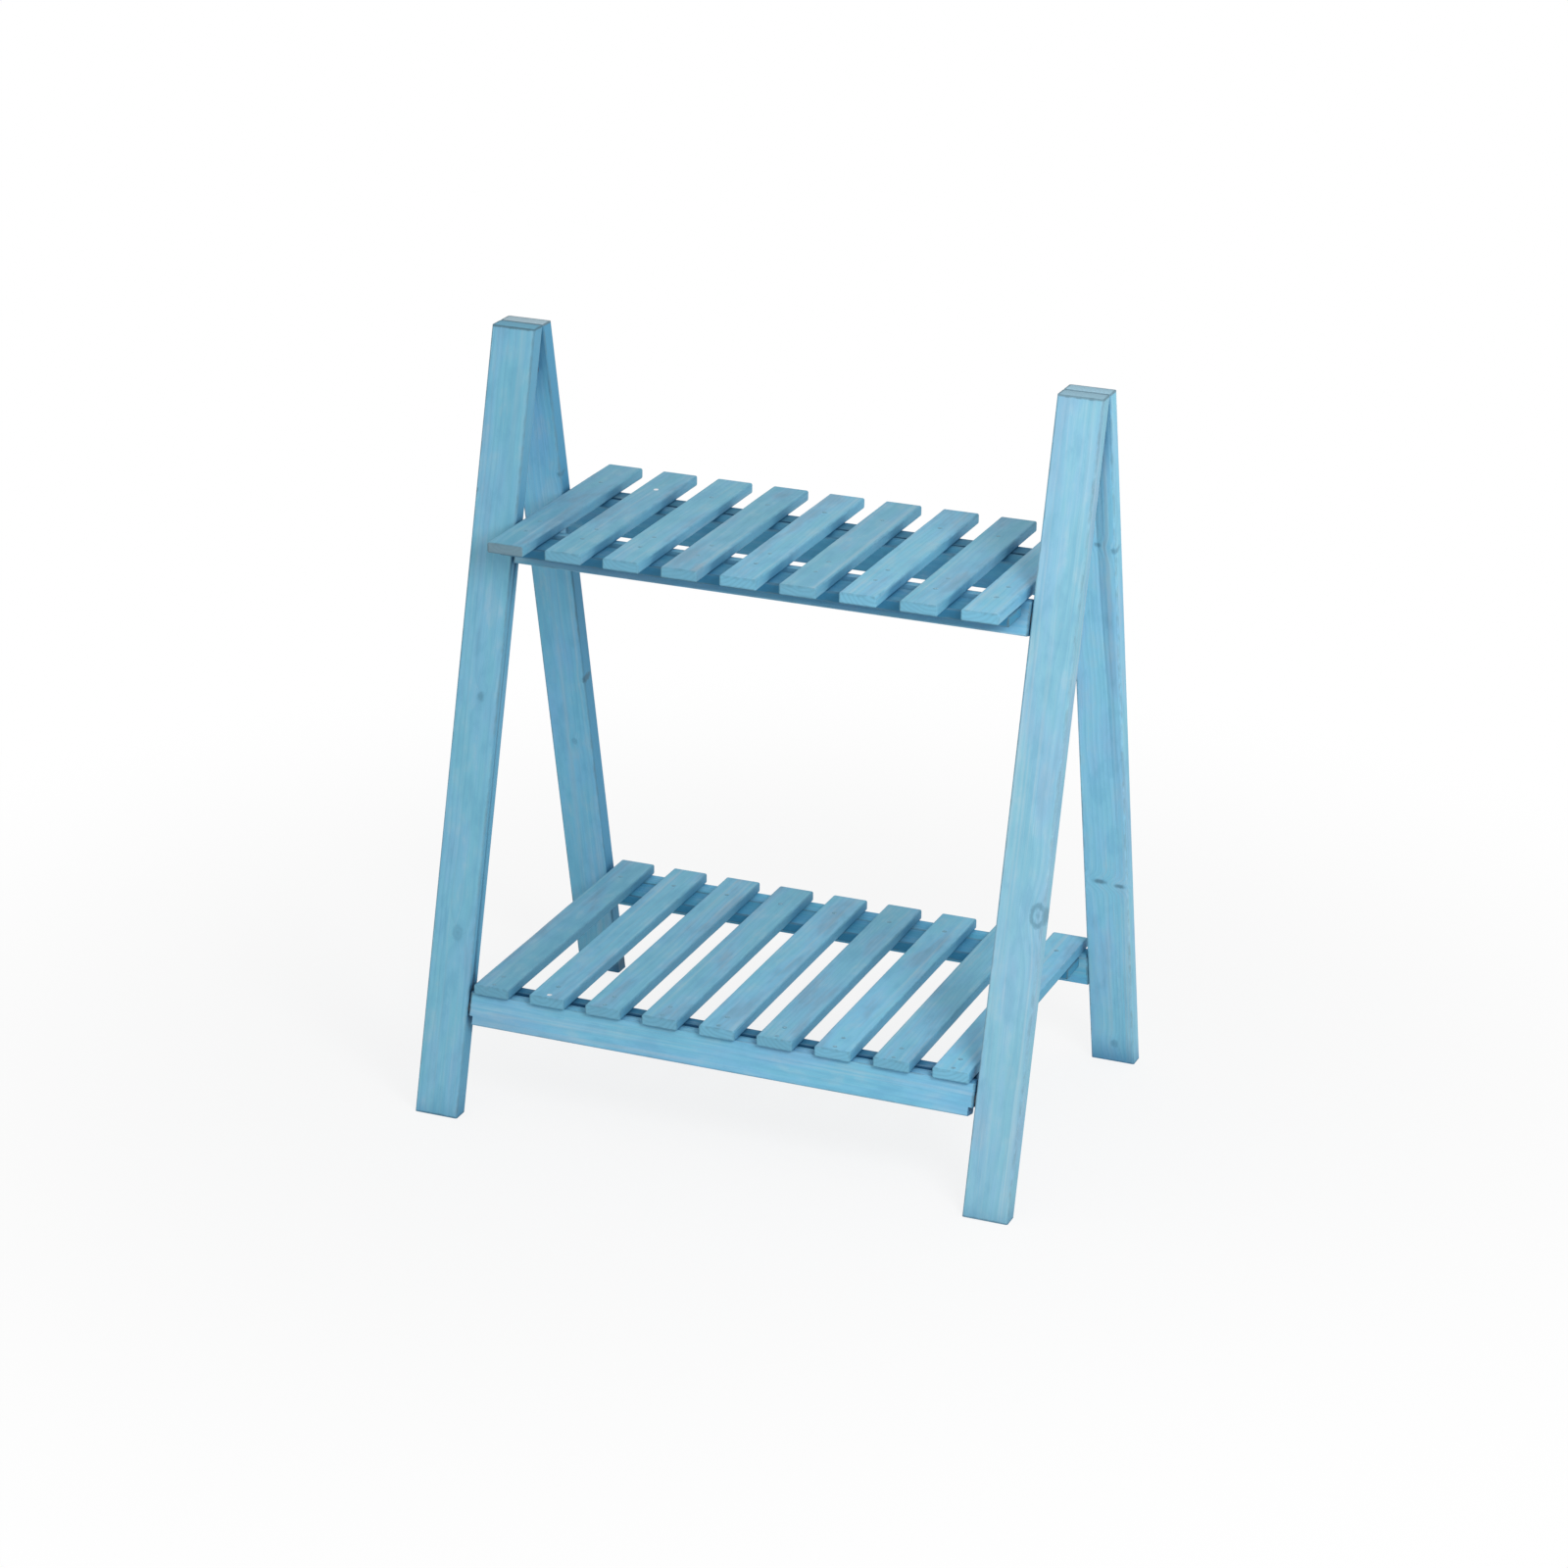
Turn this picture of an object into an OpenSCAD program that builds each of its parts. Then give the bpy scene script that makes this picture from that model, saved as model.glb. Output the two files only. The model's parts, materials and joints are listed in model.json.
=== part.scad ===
/* [Frame] */
// Height of the stand, floor to the level ends of the legs
stand_h = 666; // [560:1:800]
// Overall width across the legs
stand_w = 546; // [420:1:700]
// Lean of each pair of legs away from upright, in degrees
lean = 14; // [12:0.5:15]
// Width of a leg, seen from the front
leg_w = 40; // [34:1:50]
// Thickness of a leg, and of the rails and beams that lie flush with it
leg_t = 16; // [15:0.5:20]
// Rounding of the long edges of legs, rails and beams
leg_ease = 1.6; // [0.5:0.1:2.5]
// Height of a rail or beam along the lean
rail_h = 30; // [26:1:31]
// Depth planed off the top outer edge of a rail or beam, which makes its flat seat
seat_plane = 1.5; // [0.8:0.1:2.5]
// Gap between the inner edges of the leg ends, which stop the frame when it stands open
top_gap = 0.4; // [0.2:0.1:2]

/* [Shelves] */
// Number of slats in each shelf
slat_n = 9; // [7:1:9]
// Width of a slat
slat_w = 33; // [24:1:36]
// Thickness of a slat
slat_t = 9.5; // [7:0.5:12]
// Rounding of a slat's edges
slat_ease = 1.2; // [0.4:0.1:2]
// Gap between the outer slats and the legs
side_gap = 6; // [4:0.5:12]
// Height of the upper shelf's top face
upper_z = 510; // [480:1:530]
// How far the upper slats reach past the seats on the beam and the rail
upper_overhang = 68.2; // [30:0.1:80]
// Height of the lower shelf's top face
lower_z = 119; // [105:1:135]
// How far the lower slats reach past the seats on the beam and the rail
lower_overhang = 3.9; // [2:0.1:8]
// Width of a flat batten
batten_w = 32; // [24:1:36]
// Thickness of a flat batten
batten_t = 9.5; // [7:0.5:12]
// Distance from the upper beam's seat out to the front batten
front_batten_gap = 10.4; // [4:0.1:20]
// Width of the upper rear batten
catch_w = 19; // [12:1:24]
// Thickness of the lower batten that stands on edge behind the beam
edge_t = 12; // [9:0.5:14]
// Height of the lower batten that stands on edge
edge_h = 28; // [18:1:30]
// Clearance between the rear rails and the battens that catch them
catch_gap = 1.2; // [0.8:0.1:3]
// Clearance between the lower rear batten and the rail behind it
lock_gap = 4.8; // [4.4:0.1:8]

/* [Pivots] */
// Diameter of a shelf's pivot pin
pivot_d = 6; // [4:0.5:8]
// Length of a pivot pin inside the leg and inside the beam
pivot_grip = 24; // [14:1:30]
// Running clearance around every pin
pin_fit = 0.05; // [0.02:0.01:0.09]
// Diameter of the spacer between a beam and a leg
spacer_d = 14; // [10:1:15]
// Gap between an upper beam end and its leg
upper_end_gap = 1.2; // [1:0.1:5]
// Gap between a lower beam end and its leg
lower_end_gap = 1.6; // [1:0.1:5]
// Width of the step cut out of the bottom corners of the lower beam
step_w = 4; // [2:0.5:8]
// Height of that step
step_h = 8; // [4:0.5:9]
// Clearance between a spacer and the beam end that turns against it
face_gap = 0.2; // [0.1:0.05:0.4]

/* [Hinges] */
// Distance from the hinge pin's centre to the inner face of a leg
pin_out = 5; // [4.8:0.1:6]
// Width of a hinge, along its pin
hinge_w = 22; // [20:1:34]
// Length of a hinge leaf below the pin
leaf_len = 26; // [24:1:50]
// Thickness of a hinge leaf
leaf_t = 1.8; // [1.2:0.1:2.2]
// Outside radius of a hinge knuckle
knuckle_r = 4.5; // [3.8:0.1:4.6]
// Diameter of the hinge pin
hinge_pin_d = 4; // [3:0.1:5]
// Number of knuckles on a hinge, the odd ones on the front leaf
knuckle_n = 5; // [3:2:7]
// Gap between neighbouring knuckles
knuckle_gap = 0.3; // [0.2:0.05:0.5]
// Diameter of a hinge screw's shank
screw_d = 3; // [2.5:0.1:4]
// Diameter of a hinge screw's head
screw_head_d = 5.8; // [5:0.1:7]
// Length of a hinge screw
screw_len = 14; // [10:0.5:15]
// Distance from the hinge pin's centre down to the two upper screws
screw_drop = 9.5; // [8:0.5:12]
// Distance from a leaf's side to an upper screw
screw_side_in = 5; // [3.5:0.5:6]
// Distance from a leaf's end up to the lower screw
screw_end_in = 6; // [4:0.5:8]

/* [Nails and dowels] */
// Diameter of a nail's shank
nail_d = 2; // [1.6:0.1:2.5]
// Diameter of a nail's head
nail_head_d = 4.6; // [4:0.1:7]
// Thickness of a nail's head
nail_head_t = 1; // [0.8:0.1:1.5]
// Length of a nail
nail_len = 17; // [14:0.5:18]
// Setback of the beam nails from the beam's outer edge
nail_in = 3; // [2.6:0.1:4]
// Diameter of a dowel that joins a rear rail to a leg
dowel_d = 8; // [6:0.5:10]
// Length of a dowel
dowel_len = 50; // [36:1:60]
// Distance between the two dowels in a rail end
dowel_pitch = 13; // [12:0.5:15]

/* [Hidden] */
$fn = 48;
hole_fit = 0.05;
point_len = 2;
end_room = 1;
cut_over = 1;

sa = sin(lean);
ca = cos(lean);
leg_x = stand_w / 2 - leg_w / 2;
open_w = stand_w - 2 * leg_w;
// The hinge pin lies where the legs' inner faces reach the level ends with the gap between them
pin_to_end = (pin_out * ca - top_gap / 2) / sa;
pin_z = stand_h - pin_out * sa - pin_to_end * ca;
leg_above = pin_to_end + leg_t;
leg_below = (pin_z + (pin_out + leg_t) * sa) / ca + leg_t;
mid_out = pin_out + leg_t / 2;

slat_span = open_w - 2 * side_gap;
slat_pitch = (slat_span - slat_w) / (slat_n - 1);
upper_beam_len = open_w - 2 * upper_end_gap;
lower_beam_len = open_w - 2 * lower_end_gap;

// Rise of the seat line, in a leg's own frame, where the level plane under the slats cuts the
// outer face, and the same with the depth that is planed off
function face_rise(z, out) = (z - pin_z - out * sa) / ca;
function rail_top(z) = face_rise(z, pin_out + leg_t) + seat_plane / ca;
function rail_mid(z) = rail_top(z) - rail_h / 2;
// World distance from the middle plane, and world height, of a point on a leg
function reach(out, rise) = out * ca - rise * sa;
function height(out, rise) = pin_z + out * sa + rise * ca;

upper_seat = upper_z - slat_t;
lower_seat = lower_z - slat_t;
// Where the level seat meets the outer face of the legs, front and back alike
function seat_edge(z) = reach(pin_out + leg_t, face_rise(z, pin_out + leg_t));
// The foremost point of a rail's inner face near its top
function rail_inner(z) = reach(pin_out, rail_top(z));

upper_len = 2 * (seat_edge(upper_seat) + upper_overhang);
lower_len = 2 * (seat_edge(lower_seat) + lower_overhang);
front_batten_y = -seat_edge(upper_seat) - front_batten_gap - batten_w / 2;
catch_y = seat_edge(upper_seat - batten_t) + catch_gap + catch_w / 2;
lock_y = rail_inner(lower_seat) - lock_gap - batten_w / 2;
edge_y = -reach(pin_out, rail_top(lower_seat)) + edge_t / 2 + hole_fit;
upper_nail_y = -seat_edge(upper_seat) + nail_in;
lower_nail_y = -seat_edge(lower_seat) + nail_in;
upper_nail_rows = [front_batten_y, upper_nail_y, catch_y];
lower_nail_rows = [lower_nail_y, edge_y, lock_y];

knuckle_w = (hinge_w - (knuckle_n - 1) * knuckle_gap) / knuckle_n;
notch = knuckle_r + knuckle_gap;
screw_side = hinge_w / 2 - screw_side_in;
leaf_screws = [[-screw_side, -screw_drop], [screw_side, -screw_drop], [0, screw_end_in - leaf_len]];

// Outline of a board: a w by h rectangle with rounded corners
module eased_square(w, h, r) {
    square([w - 2 * r, h], center = true);
    square([w, h - 2 * r], center = true);
    for (x = [-1, 1], y = [-1, 1]) {
        translate([x * (w / 2 - r), y * (h / 2 - r)])
            circle(r = r);
    }
}

// A board along X with all of its edges eased
module board_x(len, w, h, r) {
    intersection() {
        linear_extrude(h + end_room, center = true)
            eased_square(len, w, r);
        rotate([90, 0, 0])
            linear_extrude(w + end_room, center = true)
                eased_square(len, h, r);
        rotate([90, 0, 90])
            linear_extrude(len + end_room, center = true)
                eased_square(w, h, r);
    }
}

// Frame of a front leg: origin on the hinge pin, Z up the leg, -Y out through its front face
module on_front() {
    translate([0, 0, pin_z])
        rotate([-lean, 0, 0])
            children();
}

module on_rear() {
    mirror([0, 1, 0])
        on_front()
            children();
}

// Everything below the floor and above the level ends of the legs
module past_leg_ends() {
    for (z = [-stand_h, stand_h]) {
        translate([-stand_w, -stand_h, z])
            cube([2 * stand_w, 2 * stand_h, stand_h]);
    }
}

module hinge_screw_holes() {
    for (p = leaf_screws) {
        translate([p[0], -pin_out + hole_fit, p[1]])
            rotate([90, 0, 0])
                cylinder(d = screw_d + 2 * hole_fit, h = screw_len);
    }
}

module pivot_bore(x_end, rise, side) {
    translate([x_end, -mid_out, rise])
        rotate([0, side * 90, 0])
            cylinder(d = pivot_d + 2 * pin_fit, h = 2 * pivot_grip, center = true);
}

module dowel_holes(rise) {
    for (side = [-1, 1], up = [-1, 1]) {
        translate([side * open_w / 2, -mid_out, rise + up * dowel_pitch / 2])
            rotate([0, 90, 0])
                cylinder(d = dowel_d + 2 * hole_fit, h = dowel_len, center = true);
    }
}

// A leg in its own frame, before its holes
module leg_blank(side) {
    translate([side * leg_x, -mid_out, (leg_above - leg_below) / 2])
        rotate([0, 90, 0])
            board_x(leg_above + leg_below, leg_t, leg_w, leg_ease);
}

module front_leg(side) {
    color("skyblue")
        difference() {
            on_front()
                difference() {
                    leg_blank(side);
                    translate([side * leg_x, 0, 0])
                        hinge_screw_holes();
                    pivot_bore(side * open_w / 2, rail_mid(upper_seat), side);
                    pivot_bore(side * open_w / 2, rail_mid(lower_seat), side);
                }
            past_leg_ends();
        }
}

module rear_leg(side) {
    color("skyblue")
        difference() {
            on_rear()
                difference() {
                    leg_blank(side);
                    translate([side * leg_x, 0, 0])
                        hinge_screw_holes();
                    dowel_holes(rail_mid(upper_seat));
                    dowel_holes(rail_mid(lower_seat));
                }
            past_leg_ends();
        }
}

// A rail or beam in a leg's frame, its top outer edge planed to a level seat
module planed_rail(len, seat_z) {
    difference() {
        on_front()
            translate([0, -mid_out, rail_mid(seat_z)])
                board_x(len, leg_t, rail_h, leg_ease);
        translate([-stand_w, -stand_h, seat_z])
            cube([2 * stand_w, 2 * stand_h, stand_h]);
    }
}

module rear_rail(seat_z) {
    color("lightskyblue")
        difference() {
            mirror([0, 1, 0])
                planed_rail(open_w, seat_z);
            on_rear()
                dowel_holes(rail_mid(seat_z));
        }
}

// The steps at the two bottom corners of a beam, in a leg's frame
module end_steps(len, seat_z) {
    for (side = [-1, 1]) {
        translate([side * len / 2, -mid_out, rail_mid(seat_z) - rail_h / 2])
            cube([2 * step_w, leg_t + 2 * cut_over, 2 * step_h], center = true);
    }
}

module lower_beam() {
    difference() {
        front_beam(lower_beam_len, lower_seat, lower_nail_y);
        on_front()
            end_steps(lower_beam_len, lower_seat);
    }
}

// Shank hole of a nail, down from the shelf's underside
module nail_hole(x, y, seat_z) {
    translate([x, y, seat_z + slat_t - nail_len - hole_fit])
        cylinder(d = nail_d + 2 * hole_fit, h = nail_len);
}

module front_beam(len, seat_z, nail_y) {
    color("lightskyblue")
        difference() {
            planed_rail(len, seat_z);
            on_front()
                for (side = [-1, 1])
                    pivot_bore(side * len / 2, rail_mid(seat_z), side);
            for (i = [1:slat_n])
                nail_hole(slat_x(i), nail_y, seat_z);
        }
}

function slat_x(i) = (i - (slat_n + 1) / 2) * slat_pitch;

// A batten under the slats: w front to back, h deep
module batten(w, h, y, seat_z) {
    color("steelblue")
        difference() {
            translate([0, y, seat_z - h / 2])
                board_x(slat_span, w, h, slat_ease);
            for (i = [1:slat_n])
                nail_hole(slat_x(i), y, seat_z);
        }
}

module slat(i, len, top_z, rows) {
    color("lightblue")
        difference() {
            translate([slat_x(i), 0, top_z - slat_t / 2])
                rotate([0, 0, 90])
                    board_x(len, slat_w, slat_t, slat_ease);
            for (y = rows) {
                translate([slat_x(i), y, top_z - nail_head_t])
                    cylinder(d = nail_head_d + 2 * hole_fit, h = slat_t);
                nail_hole(slat_x(i), y, top_z - slat_t);
            }
        }
}

module nail() {
    translate([0, 0, -nail_head_t])
        cylinder(d = nail_head_d, h = nail_head_t);
    translate([0, 0, -nail_len + point_len])
        cylinder(d = nail_d, h = nail_len - point_len);
    translate([0, 0, -nail_len])
        cylinder(d1 = 0, d2 = nail_d, h = point_len);
}

module shelf_nails(top_z, rows) {
    color("silver")
        for (i = [1:slat_n], y = rows) {
            translate([slat_x(i), y, top_z])
                nail();
        }
}

// One leaf of a hinge in a front leg's frame; its own knuckles are the odd or the even ones
module hinge_leaf(own) {
    difference() {
        union() {
            translate([-hinge_w / 2, -pin_out, -leaf_len])
                cube([hinge_w, leaf_t, leaf_len]);
            for (k = [own:2:knuckle_n])
                knuckle_at(k)
                    cylinder(r = knuckle_r, h = knuckle_w);
        }
        for (k = [3 - own:2:knuckle_n]) {
            knuckle_at(k)
                translate([0, 0, -knuckle_gap])
                    cylinder(r = notch, h = knuckle_w + 2 * knuckle_gap);
            translate([knuckle_x(k) - knuckle_gap, -pin_out - cut_over, -notch])
                cube([knuckle_w + 2 * knuckle_gap, leaf_t + 2 * cut_over, 2 * notch]);
        }
        rotate([0, 90, 0])
            cylinder(d = hinge_pin_d + 2 * pin_fit, h = 2 * hinge_w, center = true);
        for (p = leaf_screws)
            screw_at(p)
                screw_shape(hole_fit);
    }
}

function knuckle_x(k) = -hinge_w / 2 + (k - 1) * (knuckle_w + knuckle_gap);

module knuckle_at(k) {
    translate([knuckle_x(k), 0, 0])
        rotate([0, 90, 0])
            children();
}

module screw_at(p) {
    translate([p[0], -pin_out + leaf_t, p[1]])
        rotate([90, 0, 0])
            children();
}

// A countersunk screw with its head up, or its hole when grown by a clearance
module screw_shape(fit) {
    cone_h = (screw_head_d - screw_d) / 2;
    translate([0, 0, -fit])
        cylinder(d1 = screw_head_d + 2 * fit, d2 = screw_d + 2 * fit, h = cone_h + fit);
    cylinder(d = screw_d + 2 * fit, h = screw_len - point_len);
    translate([0, 0, screw_len - point_len])
        cylinder(d1 = screw_d + 2 * fit, d2 = 0, h = point_len);
}

module hinge_leaf_front(side) {
    color("gray")
        on_front()
            translate([side * leg_x, 0, 0])
                hinge_leaf(1);
}

module hinge_leaf_rear(side) {
    color("gray")
        on_rear()
            translate([side * leg_x, 0, 0])
                hinge_leaf(2);
}

module hinge_pin(side) {
    color("dimgray")
        translate([side * leg_x, 0, pin_z])
            rotate([0, 90, 0])
                cylinder(d = hinge_pin_d, h = hinge_w, center = true);
}

module hinge_screws() {
    color("silver")
        for (side = [-1, 1], p = leaf_screws) {
            translate([side * leg_x, 0, 0])
                screw_at(p)
                    screw_shape(0);
        }
}

module pivot_pins(seat_z, gap) {
    color("silver")
        on_front()
            for (side = [-1, 1]) {
                translate([side * (open_w / 2 - gap / 2), -mid_out, rail_mid(seat_z)])
                    rotate([0, 90, 0])
                        cylinder(d = pivot_d, h = 2 * pivot_grip - end_room, center = true);
            }
}

module pivot_spacers(seat_z, gap) {
    thick = gap - face_gap;
    color("steelblue")
        on_front()
            for (side = [-1, 1]) {
                translate([side * (open_w / 2 - thick / 2), -mid_out, rail_mid(seat_z)])
                    rotate([0, 90, 0])
                        difference() {
                            cylinder(d = spacer_d, h = thick, center = true);
                            cylinder(d = pivot_d + 2 * hole_fit, h = thick + 2 * cut_over, center = true);
                        }
            }
}

module rail_dowels() {
    color("burlywood")
        on_rear()
            for (side = [-1, 1], up = [-1, 1], seat_z = [upper_seat, lower_seat]) {
                translate([side * open_w / 2, -mid_out, rail_mid(seat_z) + up * dowel_pitch / 2])
                    rotate([0, 90, 0])
                        cylinder(d = dowel_d, h = dowel_len - end_room, center = true);
            }
}

front_leg(-1);  // front_leg_left
front_leg(1);  // front_leg_right
rear_leg(-1);  // rear_leg_left
rear_leg(1);  // rear_leg_right
rear_rail(upper_seat);  // rear_rail_upper
rear_rail(lower_seat);  // rear_rail_lower
front_beam(upper_beam_len, upper_seat, upper_nail_y);  // upper_front_beam
lower_beam();  // lower_front_beam
batten(batten_w, batten_t, front_batten_y, upper_seat);  // upper_front_batten
batten(catch_w, batten_t, catch_y, upper_seat);  // upper_rear_batten
batten(edge_t, edge_h, edge_y, lower_seat);  // lower_edge_batten
batten(batten_w, batten_t, lock_y, lower_seat);  // lower_rear_batten
for (i = [1:slat_n]) {
    slat(i, upper_len, upper_z, upper_nail_rows);
    slat(i, lower_len, lower_z, lower_nail_rows);
}
hinge_leaf_front(-1);  // hinge_leaf_front_left
hinge_leaf_front(1);  // hinge_leaf_front_right
hinge_leaf_rear(-1);  // hinge_leaf_rear_left
hinge_leaf_rear(1);  // hinge_leaf_rear_right
hinge_pin(-1);  // hinge_pin_left
hinge_pin(1);  // hinge_pin_right
on_front() hinge_screws();  // hinge_screws_front
on_rear() hinge_screws();  // hinge_screws_rear
pivot_pins(upper_seat, upper_end_gap);  // upper_pivot_pins
pivot_pins(lower_seat, lower_end_gap);  // lower_pivot_pins
pivot_spacers(upper_seat, upper_end_gap);  // upper_pivot_spacers
pivot_spacers(lower_seat, lower_end_gap);  // lower_pivot_spacers
shelf_nails(upper_z, upper_nail_rows);  // upper_shelf_nails
shelf_nails(lower_z, lower_nail_rows);  // lower_shelf_nails
rail_dowels();
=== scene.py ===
# %% [markdown]
# # A folding shelf stand in blue-washed pine
#
# The stand is a small A-frame: two front legs and two rear legs meet at hinges, and two slatted
# shelves turn on pins between the front legs. The construction is already done and comes in as a
# fixed frame. This script gives it its looks: wood with rings, fibres and knots under a thin blue
# wash, slats, nails and screws that repeat, and a plain studio. Everything is in metres.

import json
import math

import bmesh
import bpy
from mathutils import Matrix, Vector


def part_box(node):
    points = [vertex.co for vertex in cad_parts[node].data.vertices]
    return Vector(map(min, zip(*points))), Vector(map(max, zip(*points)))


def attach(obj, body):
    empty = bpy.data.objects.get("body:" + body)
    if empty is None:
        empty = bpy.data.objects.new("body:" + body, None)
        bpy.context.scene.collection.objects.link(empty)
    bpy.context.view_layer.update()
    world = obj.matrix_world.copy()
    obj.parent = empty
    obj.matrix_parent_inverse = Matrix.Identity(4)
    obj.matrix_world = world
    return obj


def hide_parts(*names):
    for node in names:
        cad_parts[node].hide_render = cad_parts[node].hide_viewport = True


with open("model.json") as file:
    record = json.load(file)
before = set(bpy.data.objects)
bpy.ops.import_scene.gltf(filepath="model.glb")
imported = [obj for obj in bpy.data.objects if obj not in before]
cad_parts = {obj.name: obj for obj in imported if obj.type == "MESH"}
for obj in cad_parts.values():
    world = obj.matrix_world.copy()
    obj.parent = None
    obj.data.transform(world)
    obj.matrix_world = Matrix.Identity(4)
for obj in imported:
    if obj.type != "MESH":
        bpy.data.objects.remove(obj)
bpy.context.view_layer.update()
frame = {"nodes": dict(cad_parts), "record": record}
nodes = frame["nodes"]
bodies = frame["record"]["behaviour"]["bodies"]
print("bodies:", {name: len(members) for name, members in bodies.items()})


def placed(name, data):
    """A new object in the scene, at the origin."""
    thing = bpy.data.objects.new(name, data)
    bpy.context.scene.collection.objects.link(thing)
    return thing


# %% [markdown]
# ## Camera
#
# The photograph was taken from the right and from above with a long lens, and the camera leaned
# over by about a degree. A camera is best placed by its direction and distance, as three angles
# round a target, because that can be measured from the picture, while a typed position can't.

# %% Camera
IMAGE_PX = 1600
FOCAL_PX = 4409.0
SENSOR_MM = 36.0
AZIMUTH = math.radians(21.401)
ELEVATION = math.radians(20.933)
ROLL = math.radians(1.088)
TARGET = Vector((-0.00489, 0.0, 0.28413))
DISTANCE = 3.73495


def photo_camera():
    """A camera whose X, Y and Z axes are worked out from the angles."""
    back = Vector((
        math.sin(AZIMUTH) * math.cos(ELEVATION),
        -math.cos(AZIMUTH) * math.cos(ELEVATION),
        math.sin(ELEVATION),
    ))
    level = Vector((math.cos(AZIMUTH), math.sin(AZIMUTH), 0.0))
    upright = back.cross(level)
    right = level * math.cos(ROLL) + upright * math.sin(ROLL)
    up = upright * math.cos(ROLL) - level * math.sin(ROLL)
    data = bpy.data.cameras.new("camera")
    data.sensor_width = SENSOR_MM
    data.lens = FOCAL_PX / IMAGE_PX * SENSOR_MM
    cam = placed("camera", data)
    turn = Matrix((right, up, back)).transposed().to_4x4()
    cam.matrix_world = Matrix.Translation(TARGET + back * DISTANCE) @ turn
    bpy.context.scene.camera = cam
    return cam


camera = photo_camera()
print("camera at", [round(v, 3) for v in camera.matrix_world.translation])

# %% [markdown]
# ## Studio
#
# The stand was shot against pure white with no hard shadow. Strong lamps could burn a grey floor
# to white, but they would bleach the wood as well. So the floor and the world show white to the
# camera and to reflections only, through Light Path, and the wood gets a gentler light: an even
# sky and one soft lamp at the right front. It stands close, so the right legs are brighter. Round
# the stand a part of the floor's own shading shows too, so the feet stand in a faint shadow.

# %% Node helpers
def new_tree(owner):
    """An empty node tree on a material or a world."""
    owner.use_nodes = True
    owner.node_tree.nodes.clear()
    return owner.node_tree


def add(tree, kind, **values):
    """Adds a node and sets its properties, or its sockets where the name is a socket's."""
    node = tree.nodes.new(kind)
    for name, value in values.items():
        if hasattr(node, name):
            setattr(node, name, value)
        else:
            node.inputs[name.replace("_", " ")].default_value = value
    return node


def feed(tree, socket, value):
    """Links a socket into another, or sets a number or a colour on it."""
    if isinstance(value, bpy.types.NodeSocket):
        tree.links.new(value, socket)
    elif socket.type == "RGBA" and len(value) == 3:
        socket.default_value = (*value, 1.0)
    else:
        socket.default_value = value


def node_with(tree, kind, links, **values):
    """Adds a node, feeds its inputs by name and returns its first output socket."""
    node = add(tree, kind, **values)
    for label, value in links.items():
        feed(tree, node.inputs[label], value)
    return node.outputs[0]


print("node helpers: new_tree, add, feed, node_with")

# %% Maths helpers
def calc(tree, operation, a, b=0.0, clamp=False):
    """A Math node; a and b are numbers or sockets. Returns the output socket."""
    node = tree.nodes.new("ShaderNodeMath")
    node.operation = operation
    node.use_clamp = clamp
    feed(tree, node.inputs[0], a)
    feed(tree, node.inputs[1], b)
    return node.outputs[0]


def vector_calc(tree, operation, a, b=(0.0, 0.0, 0.0)):
    """A Vector Math node, with the length or the vector as its output socket."""
    node = tree.nodes.new("ShaderNodeVectorMath")
    node.operation = operation
    feed(tree, node.inputs[0], a)
    feed(tree, node.inputs[1], b)
    return node.outputs["Value"] if operation == "LENGTH" else node.outputs[0]


def ease(tree, value, low, high, to_low=0.0, to_high=1.0):
    """Goes smoothly from to_low to to_high while value goes from low to high."""
    node = tree.nodes.new("ShaderNodeMapRange")
    node.interpolation_type = "SMOOTHSTEP"
    for socket, number in zip(node.inputs, (value, low, high, to_low, to_high)):
        feed(tree, socket, number)
    return node.outputs[0]


print("maths helpers: calc, vector_calc, ease")

# %% World
WHITE = (1.0, 1.0, 1.0, 1.0)
SKY_STRENGTH = 0.62


def seen_directly(tree):
    """1 for camera, glossy and transmission rays, which should meet the white backdrop."""
    path = tree.nodes.new("ShaderNodeLightPath").outputs
    mirror = calc(tree, "MAXIMUM", path["Is Glossy Ray"], path["Is Transmission Ray"])
    return calc(tree, "MAXIMUM", path["Is Camera Ray"], mirror)


def mix_shaders(tree, share, first, second, output):
    """Shows the first shader where share is 0 and the second where it is 1."""
    mix = tree.nodes.new("ShaderNodeMixShader")
    tree.links.new(share, mix.inputs[0])
    tree.links.new(first.outputs[0], mix.inputs[1])
    tree.links.new(second.outputs[0], mix.inputs[2])
    tree.links.new(mix.outputs[0], tree.nodes.new(output).inputs[0])


def make_world():
    """An even sky for the wood, behind which the camera sees plain white."""
    world = bpy.data.worlds.new("studio_world")
    bpy.context.scene.world = world
    tree = new_tree(world)
    sky = add(tree, "ShaderNodeBackground", Color=WHITE, Strength=SKY_STRENGTH)
    white = add(tree, "ShaderNodeBackground", Color=WHITE, Strength=1.0)
    mix_shaders(tree, seen_directly(tree), sky, white, "ShaderNodeOutputWorld")


make_world()
print("world:", bpy.context.scene.world.name)

# %% Floor
FLOOR_PAINT = (0.80, 0.80, 0.80, 1.0)
SHADOW_SHARE = 0.16
SHADOW_NEAR = 0.35
SHADOW_FAR = 1.15
FLOOR_HALF = 6.0
FLOOR_CORNERS = ((-1, -1), (1, -1), (1, 1), (-1, 1))


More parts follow.
